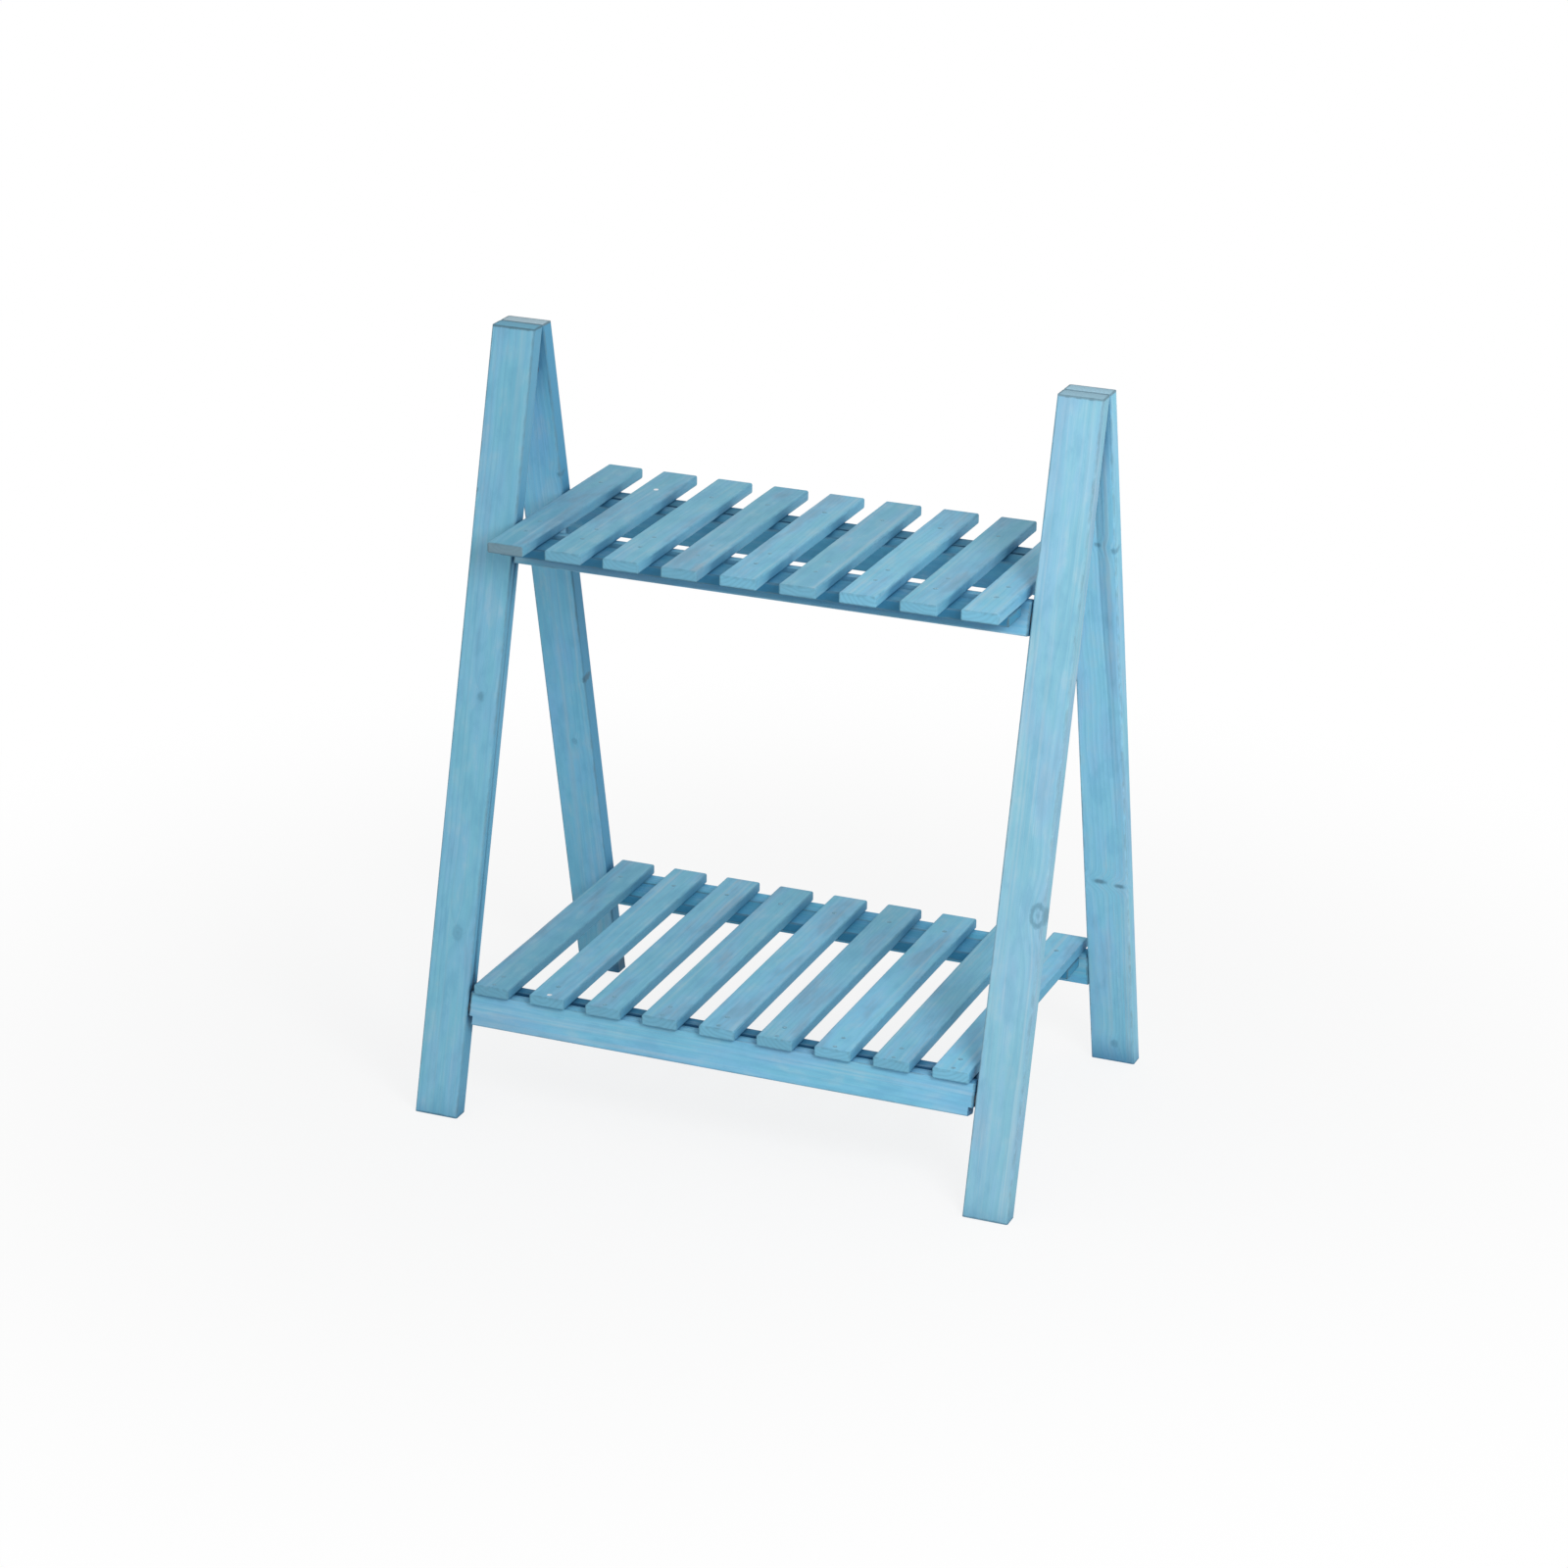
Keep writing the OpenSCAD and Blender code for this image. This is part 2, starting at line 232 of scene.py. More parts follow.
def make_floor():
    """A wide pale floor. Its own shading shows only round the stand, as a faint soft shadow."""
    mesh = bpy.data.meshes.new("floor")
    corners = [(x * FLOOR_HALF, y * FLOOR_HALF, 0) for x, y in FLOOR_CORNERS]
    mesh.from_pydata(corners, [], [(0, 1, 2, 3)])
    floor = placed("floor", mesh)
    material = bpy.data.materials.new("pale_floor")
    tree = new_tree(material)
    matt = add(tree, "ShaderNodeBsdfDiffuse", Color=FLOOR_PAINT)
    white = add(tree, "ShaderNodeEmission", Color=WHITE, Strength=1.0)
    coords = tree.nodes.new("ShaderNodeTexCoord").outputs["Object"]
    away = vector_calc(tree, "LENGTH", coords)
    fade = ease(tree, away, SHADOW_NEAR, SHADOW_FAR, 1.0 - SHADOW_SHARE, 1.0)
    share = calc(tree, "MULTIPLY", seen_directly(tree), fade)
    mix_shaders(tree, share, matt, white, "ShaderNodeOutputMaterial")
    mesh.materials.append(material)


make_floor()
print("floor side, m:", FLOOR_HALF * 2)

# %% Lamp
LAMP_PLACE = Vector((1.0, -0.95, 1.15))
LAMP_AIM = Vector((0.0, 0.0, 0.33))
LAMP_SIZE = 0.6
LAMP_WATTS = 12.0


def make_lamp():
    """A soft round lamp that looks at its aim. A lamp shines along its own -Z."""
    data = bpy.data.lights.new("key_lamp", "AREA")
    data.shape = "DISK"
    data.size = LAMP_SIZE
    data.energy = LAMP_WATTS
    lamp = placed("key_lamp", data)
    turn = (LAMP_AIM - LAMP_PLACE).to_track_quat("-Z", "Y").to_matrix().to_4x4()
    lamp.matrix_world = Matrix.Translation(LAMP_PLACE) @ turn
    return lamp


key_lamp = make_lamp()
bpy.context.scene.view_settings.view_transform = "Standard"
print("lamp at", [round(v, 2) for v in key_lamp.matrix_world.translation])

# %% [markdown]
# ## What a board is made of
#
# Every wooden piece here is a straight board, so one way of painting serves them all: turn the
# object coordinates into the board's own, with X across its face, Y through its thickness and Z
# along its grain. Rings, fibres, knots, worn edges and end grain are then simple functions of
# those three numbers. Each effect is a node group, built once and placed in every material.

# %% Group helpers
SOCKETS = {
    "f": "NodeSocketFloat", "v": "NodeSocketVector", "c": "NodeSocketColor",
    "i": "NodeSocketInt", "m": "NodeSocketMaterial", "g": "NodeSocketGeometry",
}


def new_group(name, inputs, outputs, kind="ShaderNodeTree"):
    """A node group, with its input and output sockets given as (name, type)."""
    tree = bpy.data.node_groups.new(name, kind)
    for in_out, sockets in (("INPUT", inputs), ("OUTPUT", outputs)):
        for label, letter in sockets:
            tree.interface.new_socket(label, in_out=in_out, socket_type=SOCKETS[letter])
    source = tree.nodes.new("NodeGroupInput")
    sink = tree.nodes.new("NodeGroupOutput")
    return tree, source.outputs, sink.inputs


def place_group(tree, group, **values):
    """Puts a group into a tree and feeds its inputs by name, with _ for a space."""
    node = tree.nodes.new("ShaderNodeGroup")
    node.node_tree = group
    for label, value in values.items():
        feed(tree, node.inputs[label.replace("_", " ")], value)
    return node.outputs


def split(tree, vector):
    """The X, Y and Z sockets of a vector."""
    node = tree.nodes.new("ShaderNodeSeparateXYZ")
    tree.links.new(vector, node.inputs[0])
    return node.outputs


def join(tree, x, y, z):
    """A vector made from three numbers or sockets."""
    node = tree.nodes.new("ShaderNodeCombineXYZ")
    for socket, value in zip(node.inputs, (x, y, z)):
        feed(tree, socket, value)
    return node.outputs[0]


def noise(tree, vector, scale, detail=2.0, roughness=0.5):
    """A Noise Texture's grey output."""
    node = add(tree, "ShaderNodeTexNoise", Scale=scale, Detail=detail, Roughness=roughness)
    tree.links.new(vector, node.inputs["Vector"])
    return node.outputs[0]


def blend_colour(tree, share, a, b, blend="MIX"):
    """Colour a where share is 0 and colour b, or their blend, where it is 1."""
    node = add(tree, "ShaderNodeMix", data_type="RGBA", blend_type=blend)
    for socket, value in zip((node.inputs[0], node.inputs[6], node.inputs[7]), (share, a, b)):
        feed(tree, socket, value)
    return node.outputs[2]


def scaled(tree, value, factor):
    """A value times a factor."""
    return calc(tree, "MULTIPLY", value, factor)


def tinted(tree, colour, tint):
    """A colour times a tint, channel by channel."""
    return blend_colour(tree, 1.0, colour, tint, "MULTIPLY")


print("socket types:", list(SOCKETS.values()))

# %% [markdown]
# ### Growth rings and fibres
#
# A pine board shows its rings as long bands. The tree's heart runs nearly along the board, some
# way outside it, so the bands are cylinders round a line, cut by the face: distance from that
# line, bent by slow noise, and folded into rings. A wood-grain picture could be wrapped on
# instead, but it wouldn't turn into true end grain where the board is cut. The fibres are noise
# stretched along the grain, and so are the clouds where the wash pooled. Each noise is given as
# its scale, detail and roughness, and a squeeze stretches it.

# %% Grain group
RING_SPACING = 0.0036
RING_WANDER = 0.012
WANDER_SCALE = 24.0
LATE_WOOD = (0.30, 0.84)
NEXT_SPRING = (0.86, 1.0)
HEART_SIDEWAYS = 0.024
HEART_BEHIND = 0.026
HEART_SWING = 0.010
HEART_DRIFT = 0.9
SEED_ALONG, SEED_SIDEWAYS, SEED_BEHIND = 0.731, 2.13, 1.37
FIBRE_NOISE = (850.0, 3.0, 0.65)
FIBRE_SQUEEZE = 0.018
STREAK_NOISE = (190.0, 2.0, 0.5)
STREAK_SQUEEZE = 0.012
CLOUD_NOISE = (46.0, 3.0, 0.6)
CLOUD_SQUEEZE = 0.22
PATCH_NOISE = (75.0, 4.0, 0.62)
PATCH_SQUEEZE = 0.45


def build_grain():
    """Rings is 1 in the dark late wood. Fibre, Streak, Cloud and Patch are noise from 0 to 1."""
    tree, given, out = new_group(
        "pine_grain",
        [("Vector", "v"), ("Seed", "f"), ("Bend", "f")],
        [("Rings", "f"), ("Fibre", "f"), ("Streak", "f"), ("Cloud", "f"), ("Patch", "f")],
    )
    x, y, z = split(tree, given["Vector"])
    seed = given["Seed"]
    shift = scaled(tree, seed, SEED_ALONG)

    def squeezed(amount, bent=0.0):
        """The board's coordinates squeezed along the grain and moved on by the seed."""
        across = calc(tree, "ADD", x, bent)
        return join(tree, across, y, calc(tree, "ADD", scaled(tree, z, amount), shift))

    heart_x = scaled(tree, calc(tree, "SINE", scaled(tree, seed, SEED_SIDEWAYS)), HEART_SIDEWAYS)
    swing = scaled(tree, calc(tree, "COSINE", scaled(tree, seed, SEED_BEHIND)), HEART_SWING)
    heart_y = calc(tree, "ADD", swing, HEART_BEHIND)
    drift = calc(tree, "MULTIPLY", z, scaled(tree, heart_x, HEART_DRIFT))
    from_x = calc(tree, "SUBTRACT", x, calc(tree, "ADD", heart_x, drift))
    from_heart = join(tree, from_x, calc(tree, "ADD", y, heart_y), 0.0)
    wander = calc(tree, "SUBTRACT", noise(tree, squeezed(CLOUD_SQUEEZE), WANDER_SCALE), 0.5)
    radius = calc(tree, "ADD", vector_calc(tree, "LENGTH", from_heart), scaled(tree, wander, RING_WANDER))
    radius = calc(tree, "ADD", radius, given["Bend"])
    phase = calc(tree, "FRACT", calc(tree, "DIVIDE", radius, RING_SPACING))
    rise = ease(tree, phase, *LATE_WOOD)
    fall = ease(tree, phase, *NEXT_SPRING, 1.0, 0.0)
    results = {
        "Rings": calc(tree, "MULTIPLY", rise, fall),
        "Fibre": noise(tree, squeezed(FIBRE_SQUEEZE, given["Bend"]), *FIBRE_NOISE),
        "Streak": noise(tree, squeezed(STREAK_SQUEEZE, given["Bend"]), *STREAK_NOISE),
        "Cloud": noise(tree, squeezed(CLOUD_SQUEEZE), *CLOUD_NOISE),
        "Patch": noise(tree, squeezed(PATCH_SQUEEZE), *PATCH_NOISE),
    }
    for label, value in results.items():
        tree.links.new(value, out[label])
    return tree


GRAIN = build_grain()
print("grain group:", len(GRAIN.nodes), "nodes")

# %% [markdown]
# ### Knots
#
# A knot is the root of a branch: a dark disc with its own small rings, and round it the grain
# swerves aside. The group gives a mask for the disc and a push that is added to the distance
# from the tree's heart, so that the growth rings really do flow round the knot.

# %% Knot group
KNOT_THROUGH = 0.25
RAGGED_SCALE = 420.0
RAGGED_DEPTH = 0.003
KNOT_DISC = (0.35, 1.45)
KNOT_RIM_AT = 0.9
KNOT_RIM = (0.10, 0.45)
KNOT_HEART = (0.10, 0.45, 0.60)
KNOT_FADE = -0.16
KNOT_PUSH = 0.9


def build_knot():
    """Ring is 0 for a solid knot and 1 for a pale one with a dark rim. A large Flat makes a dash."""
    tree, given, out = new_group(
        "knot",
        [("Vector", "v"), ("Place", "v"), ("Radius", "f"), ("Ring", "f"), ("Flat", "f")],
        [("Mask", "f"), ("Push", "f")],
    )
    gap = vector_calc(tree, "SUBTRACT", given["Vector"], given["Place"])
    x, y, z = split(tree, gap)
    flattened = join(tree, x, scaled(tree, y, KNOT_THROUGH), calc(tree, "MULTIPLY", z, given["Flat"]))
    ragged = scaled(tree, calc(tree, "SUBTRACT", noise(tree, gap, RAGGED_SCALE), 0.5), RAGGED_DEPTH)
    distance = calc(tree, "ADD", vector_calc(tree, "LENGTH", flattened), ragged)
    share = calc(tree, "DIVIDE", distance, given["Radius"])
    disc = ease(tree, share, *KNOT_DISC, 1.0, 0.0)
    off_rim = calc(tree, "ABSOLUTE", calc(tree, "SUBTRACT", share, KNOT_RIM_AT))
    rim = ease(tree, off_rim, *KNOT_RIM, 1.0, 0.0)
    heart = ease(tree, share, *KNOT_HEART, 0.0)
    hollow = calc(tree, "MULTIPLY", calc(tree, "MAXIMUM", rim, heart), given["Ring"])
    solid = calc(tree, "MULTIPLY", disc, calc(tree, "SUBTRACT", 1.0, given["Ring"]))
    tree.links.new(calc(tree, "ADD", hollow, solid, clamp=True), out["Mask"])
    fade = calc(tree, "EXPONENT", scaled(tree, calc(tree, "POWER", share, 2.0), KNOT_FADE))
    push = scaled(tree, calc(tree, "MULTIPLY", fade, given["Radius"]), KNOT_PUSH)
    tree.links.new(push, out["Push"])
    return tree


KNOT = build_knot()
print("knot group:", len(KNOT.nodes), "nodes")

# %% [markdown]
# ### Edges and ends
#
# The wash is rubbed thin on the eased edges, soaks deep into end grain, which drinks it, and
# dries to a dark rim round each end. All these masks need only the board's half sizes: how far a
# point is from the nearest long edge, and how far from the nearest end. An edge mask could also
# come from Geometry's Pointiness, but that needs a fine mesh, while this works on a board of a
# dozen faces. A leaning leg is cut level, so End Slope says how the ends slant.

# %% Edge group
BREAK_NOISE = (210.0, 3.0, 0.6)
BREAK_SQUEEZE = 0.4
EDGE_BREAK = -0.0036
RIM_BREAK = -0.0024
SOAK_BREAK = 0.008
EDGE_WIDTH = (-0.0018, 0.0004)
END_WIDTH = (0.0004, 0.0012)
SIDE_WIDTH = (0.0004, 0.0014)
RIM_WIDTH = (-0.0008, 0.0010)
SOAK_WIDTH = (0.0, 0.018)


def build_edges():
    """Masks that are 1 on worn edges, on the ends, near them, on the sides and at the end rims."""
    tree, given, out = new_group(
        "board_edges",
        [("Vector", "v"), ("Half Size", "v"), ("Seed", "f"), ("End Slope", "f")],
        [("Edge", "f"), ("End", "f"), ("Near End", "f"), ("Side", "f"), ("Rim", "f")],
    )
    x, y, z = split(tree, given["Vector"])
    parts = (x, y, calc(tree, "ADD", z, calc(tree, "MULTIPLY", y, given["End Slope"])))
    halves = split(tree, given["Half Size"])
    inside = [
        calc(tree, "SUBTRACT", half, calc(tree, "ABSOLUTE", part)) for part, half in zip(parts, halves)]
    along = calc(tree, "ADD", scaled(tree, parts[2], BREAK_SQUEEZE), given["Seed"])
    broken = noise(tree, join(tree, parts[0], parts[1], along), *BREAK_NOISE)
    long_edge = calc(tree, "ADD", inside[0], inside[1])
    cross_edge = calc(tree, "ADD", calc(tree, "MINIMUM", inside[0], inside[1]), inside[2])
    nearest = calc(tree, "MINIMUM", long_edge, cross_edge)
    distances = {
        "Edge": (calc(tree, "ADD", nearest, scaled(tree, broken, EDGE_BREAK)), EDGE_WIDTH),
        "End": (inside[2], END_WIDTH),
        "Rim": (calc(tree, "ADD", cross_edge, scaled(tree, broken, RIM_BREAK)), RIM_WIDTH),
        "Side": (inside[0], SIDE_WIDTH),
        "Near End": (calc(tree, "ADD", inside[2], scaled(tree, broken, SOAK_BREAK)), SOAK_WIDTH),
    }
    for label, (distance, (full, none)) in distances.items():
        tree.links.new(ease(tree, distance, full, none, 1.0, 0.0), out[label])
    return tree


EDGES = build_edges()
print("edge group:", len(EDGES.nodes), "nodes")

# %% [markdown]
# ### The wash
#
# A wash is thin paint wiped over bare wood. It evens out the wood's own colour, so rings and
# fibres show only as slightly deeper and paler blue, and it wanders between teal and sky blue
# where it pooled. The group mixes these tints by the masks, then lets the wood's grey brown
# through at knots, rubbed edges and ends. The ends took the wash differently, so they have a tint
# of their own. A board's sides get a darker tint as painted shade, and so do its corners, which an
# Ambient Occlusion node finds. Mixing tints of one given blue keeps every board in the same
# family, and a board's own tone changes only how bright it is. The work is split in two: the
# coat, and its wear together with the painted shade.
# A pair of numbers says between which two values of a noise an effect sets in, and two more say
# how strong it is at each.

# %% Wash colours
WOOD_BROWN = (0.200, 0.180, 0.160)
KNOT_BROWN = (0.060, 0.080, 0.090)
DRY_STREAK = (0.52, 0.64, 0.69)
DEEP_TINT = (0.72, 0.82, 0.86)
# The corner tint darkens the blue in corners as painted shade.
CORNER_SHADE_TINT = (0.30, 0.46, 0.58)
# The side tint darkens a board's narrow sides as painted shade.
SIDE_SHADE_TINT = (0.52, 0.66, 0.72)
END_TINT = (0.80, 0.86, 0.87)
RIM_DARK = (0.085, 0.165, 0.215)
TEAL_TINT = (0.96, 1.03, 0.97)
SKY_TINT = (1.04, 0.98, 1.03)
CLOUD_SPLIT, THIN_SPOTS = (0.34, 0.66), (0.52, 0.68)
DRY_STREAKS, DRY_FLECKS = (0.50, 0.78), (0.56, 0.74)
POOLS, DARK_THREADS = (0.46, 0.26, 0.0, 0.45), (0.50, 0.30, 0.0, 0.34)
DEEP_PATCHES, PALE_PATCHES = (0.50, 0.30, 0.0, 0.55), (0.50, 0.72, 0.0, 0.22)
RING_SHARE, FLECK_SHARE = 0.30, 0.60
NEAR_END_SHARE, EDGE_SHARE, END_SHARE = 0.16, 0.55, 0.85
END_RING_SHARE, KNOT_SHARE, RIM_SHARE = 0.27, 0.85, 0.75
ROUGH_WASH, ROUGH_FIBRE, ROUGH_END = 0.50, 0.16, 0.20
RING_RISE, FIBRE_RISE, KNOT_SINK = 0.40, 0.60, 0.40
print("tints of the plain blue: deep", DEEP_TINT, "side", SIDE_SHADE_TINT, "end", END_TINT)

# %% Coat and wear
def layered(tree, base, layers):
    """Lays (share, colour) pairs over a base colour, one after another."""
    for share, colour in layers:
        base = blend_colour(tree, share, base, colour)
    return base


def wash_coat(tree, given, plain, deep):
    """The coat itself: teal and sky clouds, pools, rings, fibres, dry streaks and thin spots."""
    teal, sky = tinted(tree, plain, TEAL_TINT), tinted(tree, plain, SKY_TINT)
    base = blend_colour(tree, ease(tree, given["Cloud"], *CLOUD_SPLIT), teal, sky)
    streaks = calc(tree, "MULTIPLY", ease(tree, given["Streak"], *DRY_STREAKS), given["Dry"])
    flecks = calc(tree, "MULTIPLY", ease(tree, given["Fibre"], *DRY_FLECKS), given["Dry"])
    thin = calc(tree, "MULTIPLY", ease(tree, given["Cloud"], *THIN_SPOTS), given["Worn"])
    return layered(tree, base, [
        (ease(tree, given["Cloud"], *POOLS), deep),
        (ease(tree, given["Patch"], *DEEP_PATCHES), deep),
        (ease(tree, given["Patch"], *PALE_PATCHES), DRY_STREAK),
        (scaled(tree, given["Rings"], RING_SHARE), deep),
        (ease(tree, given["Fibre"], *DARK_THREADS), deep),
        (streaks, DRY_STREAK),
        (scaled(tree, flecks, FLECK_SHARE), DRY_STREAK),
        (thin, WOOD_BROWN),
    ])


def wash_wear_and_shade(tree, given, base, plain, deep):
    """What changes the coat: rubbed edges, end grain, knots, dark end rims, and painted shade on the
    sides and in corners.
    """
    end = layered(tree, tinted(tree, plain, END_TINT), [
        (scaled(tree, given["Rings"], END_RING_SHARE), given["Edge Tint"]),
        (given["Brown End"], WOOD_BROWN),
        (given["End Pale"], DRY_STREAK),
    ])
    return layered(tree, base, [
        (scaled(tree, given["Near End"], NEAR_END_SHARE), deep),
        # Painted shade: a board's sides are darkened by the side tint.
        (given["Side"], tinted(tree, plain, SIDE_SHADE_TINT)),
        (scaled(tree, given["Edge"], EDGE_SHARE), given["Edge Tint"]),
        (scaled(tree, given["End"], END_SHARE), end),
        (scaled(tree, given["Knots"], KNOT_SHARE),
         blend_colour(tree, given["Knot Depth"], deep, KNOT_BROWN)),
        (scaled(tree, given["Rim"], RIM_SHARE), RIM_DARK),
        # Painted shade: corners that the Ambient Occlusion node finds are darkened.
        (given["Corner"], tinted(tree, deep, CORNER_SHADE_TINT)),
    ])


print("wash helpers: layered, wash_coat, wash_wear_and_shade")

# %% Wash group
WASH_NUMBERS = (
    "Tone", "Rings", "Fibre", "Streak", "Cloud", "Patch", "Knots", "Knot Depth", "Side", "Edge", "End",
    "Near End", "Rim", "Corner", "Dry", "Worn", "End Pale", "Brown End")


def build_wash():
    """The Color, Roughness and Height of washed wood, from the masks of the other groups."""
    tree, given, out = new_group(
        "blue_wash",
        [("Plain", "c"), ("Edge Tint", "c"), *((label, "f") for label in WASH_NUMBERS)],
        [("Color", "c"), ("Roughness", "f"), ("Height", "f")],
    )
    plain = tinted(tree, given["Plain"], join(tree, given["Tone"], given["Tone"], given["Tone"]))
    deep = tinted(tree, plain, DEEP_TINT)
    coat = wash_coat(tree, given, plain, deep)
    tree.links.new(wash_wear_and_shade(tree, given, coat, plain, deep), out["Color"])
    rough = calc(tree, "ADD", scaled(tree, given["Fibre"], ROUGH_FIBRE), ROUGH_WASH)
    rough = calc(tree, "ADD", rough, scaled(tree, given["End"], ROUGH_END), clamp=True)
    tree.links.new(rough, out["Roughness"])
    raised = calc(
        tree, "ADD", scaled(tree, given["Rings"], RING_RISE), scaled(tree, given["Fibre"], FIBRE_RISE))
    height = calc(tree, "SUBTRACT", raised, scaled(tree, given["Knots"], KNOT_SINK))
    tree.links.new(height, out["Height"])
    return tree


WASH = build_wash()
print("wash group:", len(WASH.nodes), "nodes")

# %% [markdown]
# ## Wooden pieces
#
# A material is made for each board, because each was cut from another part of the tree: it has
# its own seed, its own tone and its own knots. The Mapping node takes the board's middle and its
# lean, and in Texture mode it undoes them, which leaves the board's own coordinates.

# %% Board material
GRAIN_DEPTH = 0.00028
# Painted shade in corners: how far the Ambient Occlusion node looks, where it sets in, and how dark it
# paints.
CORNER_SHADE_REACH = 0.042
CORNER_SHADE_OPEN = (0.25, 0.88)
CORNER_SHADE_DEPTH = 0.80
WORN_TINT = (0.150, 0.240, 0.285)


def board_coordinates(tree, middle, turn):
    """Object coordinates turned into the board's own."""
    coords = tree.nodes.new("ShaderNodeTexCoord").outputs["Object"]
    return node_with(
        tree, "ShaderNodeMapping", {"Vector": coords, "Location": middle, "Rotation": turn},
        vector_type="TEXTURE")


def principled(tree, links, **values):
    """The Principled shader and the output that end a material."""
    shader = node_with(tree, "ShaderNodeBsdfPrincipled", links, **values)
    tree.links.new(shader, tree.nodes.new("ShaderNodeOutputMaterial").inputs[0])


def wood_shader(
        tree, vector, half, colour, seed, knots=(), tone=1.0, dry=0.3, end_pale=0.0, brown_end=0.0,
        edge_tint=WORN_TINT, deep_sides=0.0, worn=0.10, end_slope=0.0, dark_rim=1.0,
        corner_depth=CORNER_SHADE_DEPTH):
    """The finish of one board, with painted shade in its corners and, where asked, on its sides. half is
    (half width, half thickness, half length).
    """
    push, mask, darkness = 0.0, 0.0, 0.0
    for place, radius, ring, flat, depth in knots:
        knot = place_group(tree, KNOT, Vector=vector, Place=place, Radius=radius, Ring=ring, Flat=flat)
        push = calc(tree, "ADD", knot["Push"], push)
        mask = calc(tree, "MAXIMUM", knot["Mask"], mask)
        darkness = calc(tree, "MAXIMUM", scaled(tree, knot["Mask"], depth), darkness)
    grain = place_group(tree, GRAIN, Vector=vector, Seed=seed, Bend=push)
    edges = place_group(tree, EDGES, Vector=vector, Half_Size=half, Seed=seed, End_Slope=end_slope)
    # Painted shade: where the Ambient Occlusion node finds a corner, the blue is darkened.
    open_sky = add(tree, "ShaderNodeAmbientOcclusion", samples=8, Distance=CORNER_SHADE_REACH)
    corner = ease(tree, open_sky.outputs["AO"], *CORNER_SHADE_OPEN, corner_depth, 0.0)
    wash = place_group(
        tree, WASH, Plain=colour, Tone=tone, Rings=grain["Rings"], Fibre=grain["Fibre"],
        Streak=grain["Streak"], Cloud=grain["Cloud"], Knots=mask, Edge=edges["Edge"], End=edges["End"],
        Near_End=edges["Near End"], Dry=dry, End_Pale=end_pale, Brown_End=brown_end, Edge_Tint=edge_tint,
        Side=scaled(tree, edges["Side"], deep_sides), Worn=worn, Patch=grain["Patch"], Corner=corner,
        Rim=scaled(tree, edges["Rim"], dark_rim), Knot_Depth=darkness)
    bump = node_with(
        tree, "ShaderNodeBump", {"Height": wash["Height"]}, Strength=0.7, Distance=GRAIN_DEPTH)
    principled(
        tree, {"Base Color": wash["Color"], "Roughness": wash["Roughness"], "Normal": bump},
        Specular_IOR_Level=0.15)


def board_material(name, middle, turn, half, colour, seed, **finish):
    """One board's material, from its middle, its turn and its half sizes."""
    material = bpy.data.materials.new(name)
    tree = new_tree(material)
    wood_shader(tree, board_coordinates(tree, middle, turn), half, colour, seed, **finish)
    return material


def paint(node_name, material):
    """Gives a frame node its material."""
    mesh = nodes[node_name].data
    mesh.materials.clear()
    mesh.materials.append(material)


print("board helpers: board_coordinates, principled, wood_shader, board_material, paint")

# %% Eased boards
BODY_OF = {name: body for body, names in bodies.items() for name in names}
BOARD_EASE = 0.0007
SHORTEST_EASED = 0.014
SHARP_ANGLE = math.radians(40)
FLAT_ANGLE = math.radians(1)
MERGE_WITHIN = 0.000002


def eased_board(node_name, material):
    """A copy of a board with its edges rounded, which stands in for the frame's sharp one."""
    shape = bmesh.new()
    shape.from_mesh(nodes[node_name].data)
    bmesh.ops.remove_doubles(shape, verts=shape.verts, dist=MERGE_WITHIN)
    bmesh.ops.dissolve_limit(shape, angle_limit=FLAT_ANGLE, verts=shape.verts, edges=shape.edges)
    sharp = [
        edge for edge in shape.edges
        if len(edge.link_faces) == 2 and edge.calc_length() > SHORTEST_EASED and edge.is_convex
        and edge.calc_face_angle() > SHARP_ANGLE]
    bmesh.ops.bevel(shape, geom=sharp, offset=BOARD_EASE, segments=2, profile=0.5, affect="EDGES")
    bmesh.ops.triangulate(shape, faces=shape.faces)
    mesh = bpy.data.meshes.new(node_name + "_board")
    shape.to_mesh(mesh)
    shape.free()
    mesh.materials.append(material)
    piece = placed(mesh.name, mesh)
    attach(piece, BODY_OF[node_name])
    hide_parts(node_name)
    return piece


def middle_of(node_name):
    """The middle of a frame node's box."""
    low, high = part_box(node_name)
    return (low + high) / 2


def size_of(node_name):
    """The size of a frame node's box."""
    low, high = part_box(node_name)
    return high - low
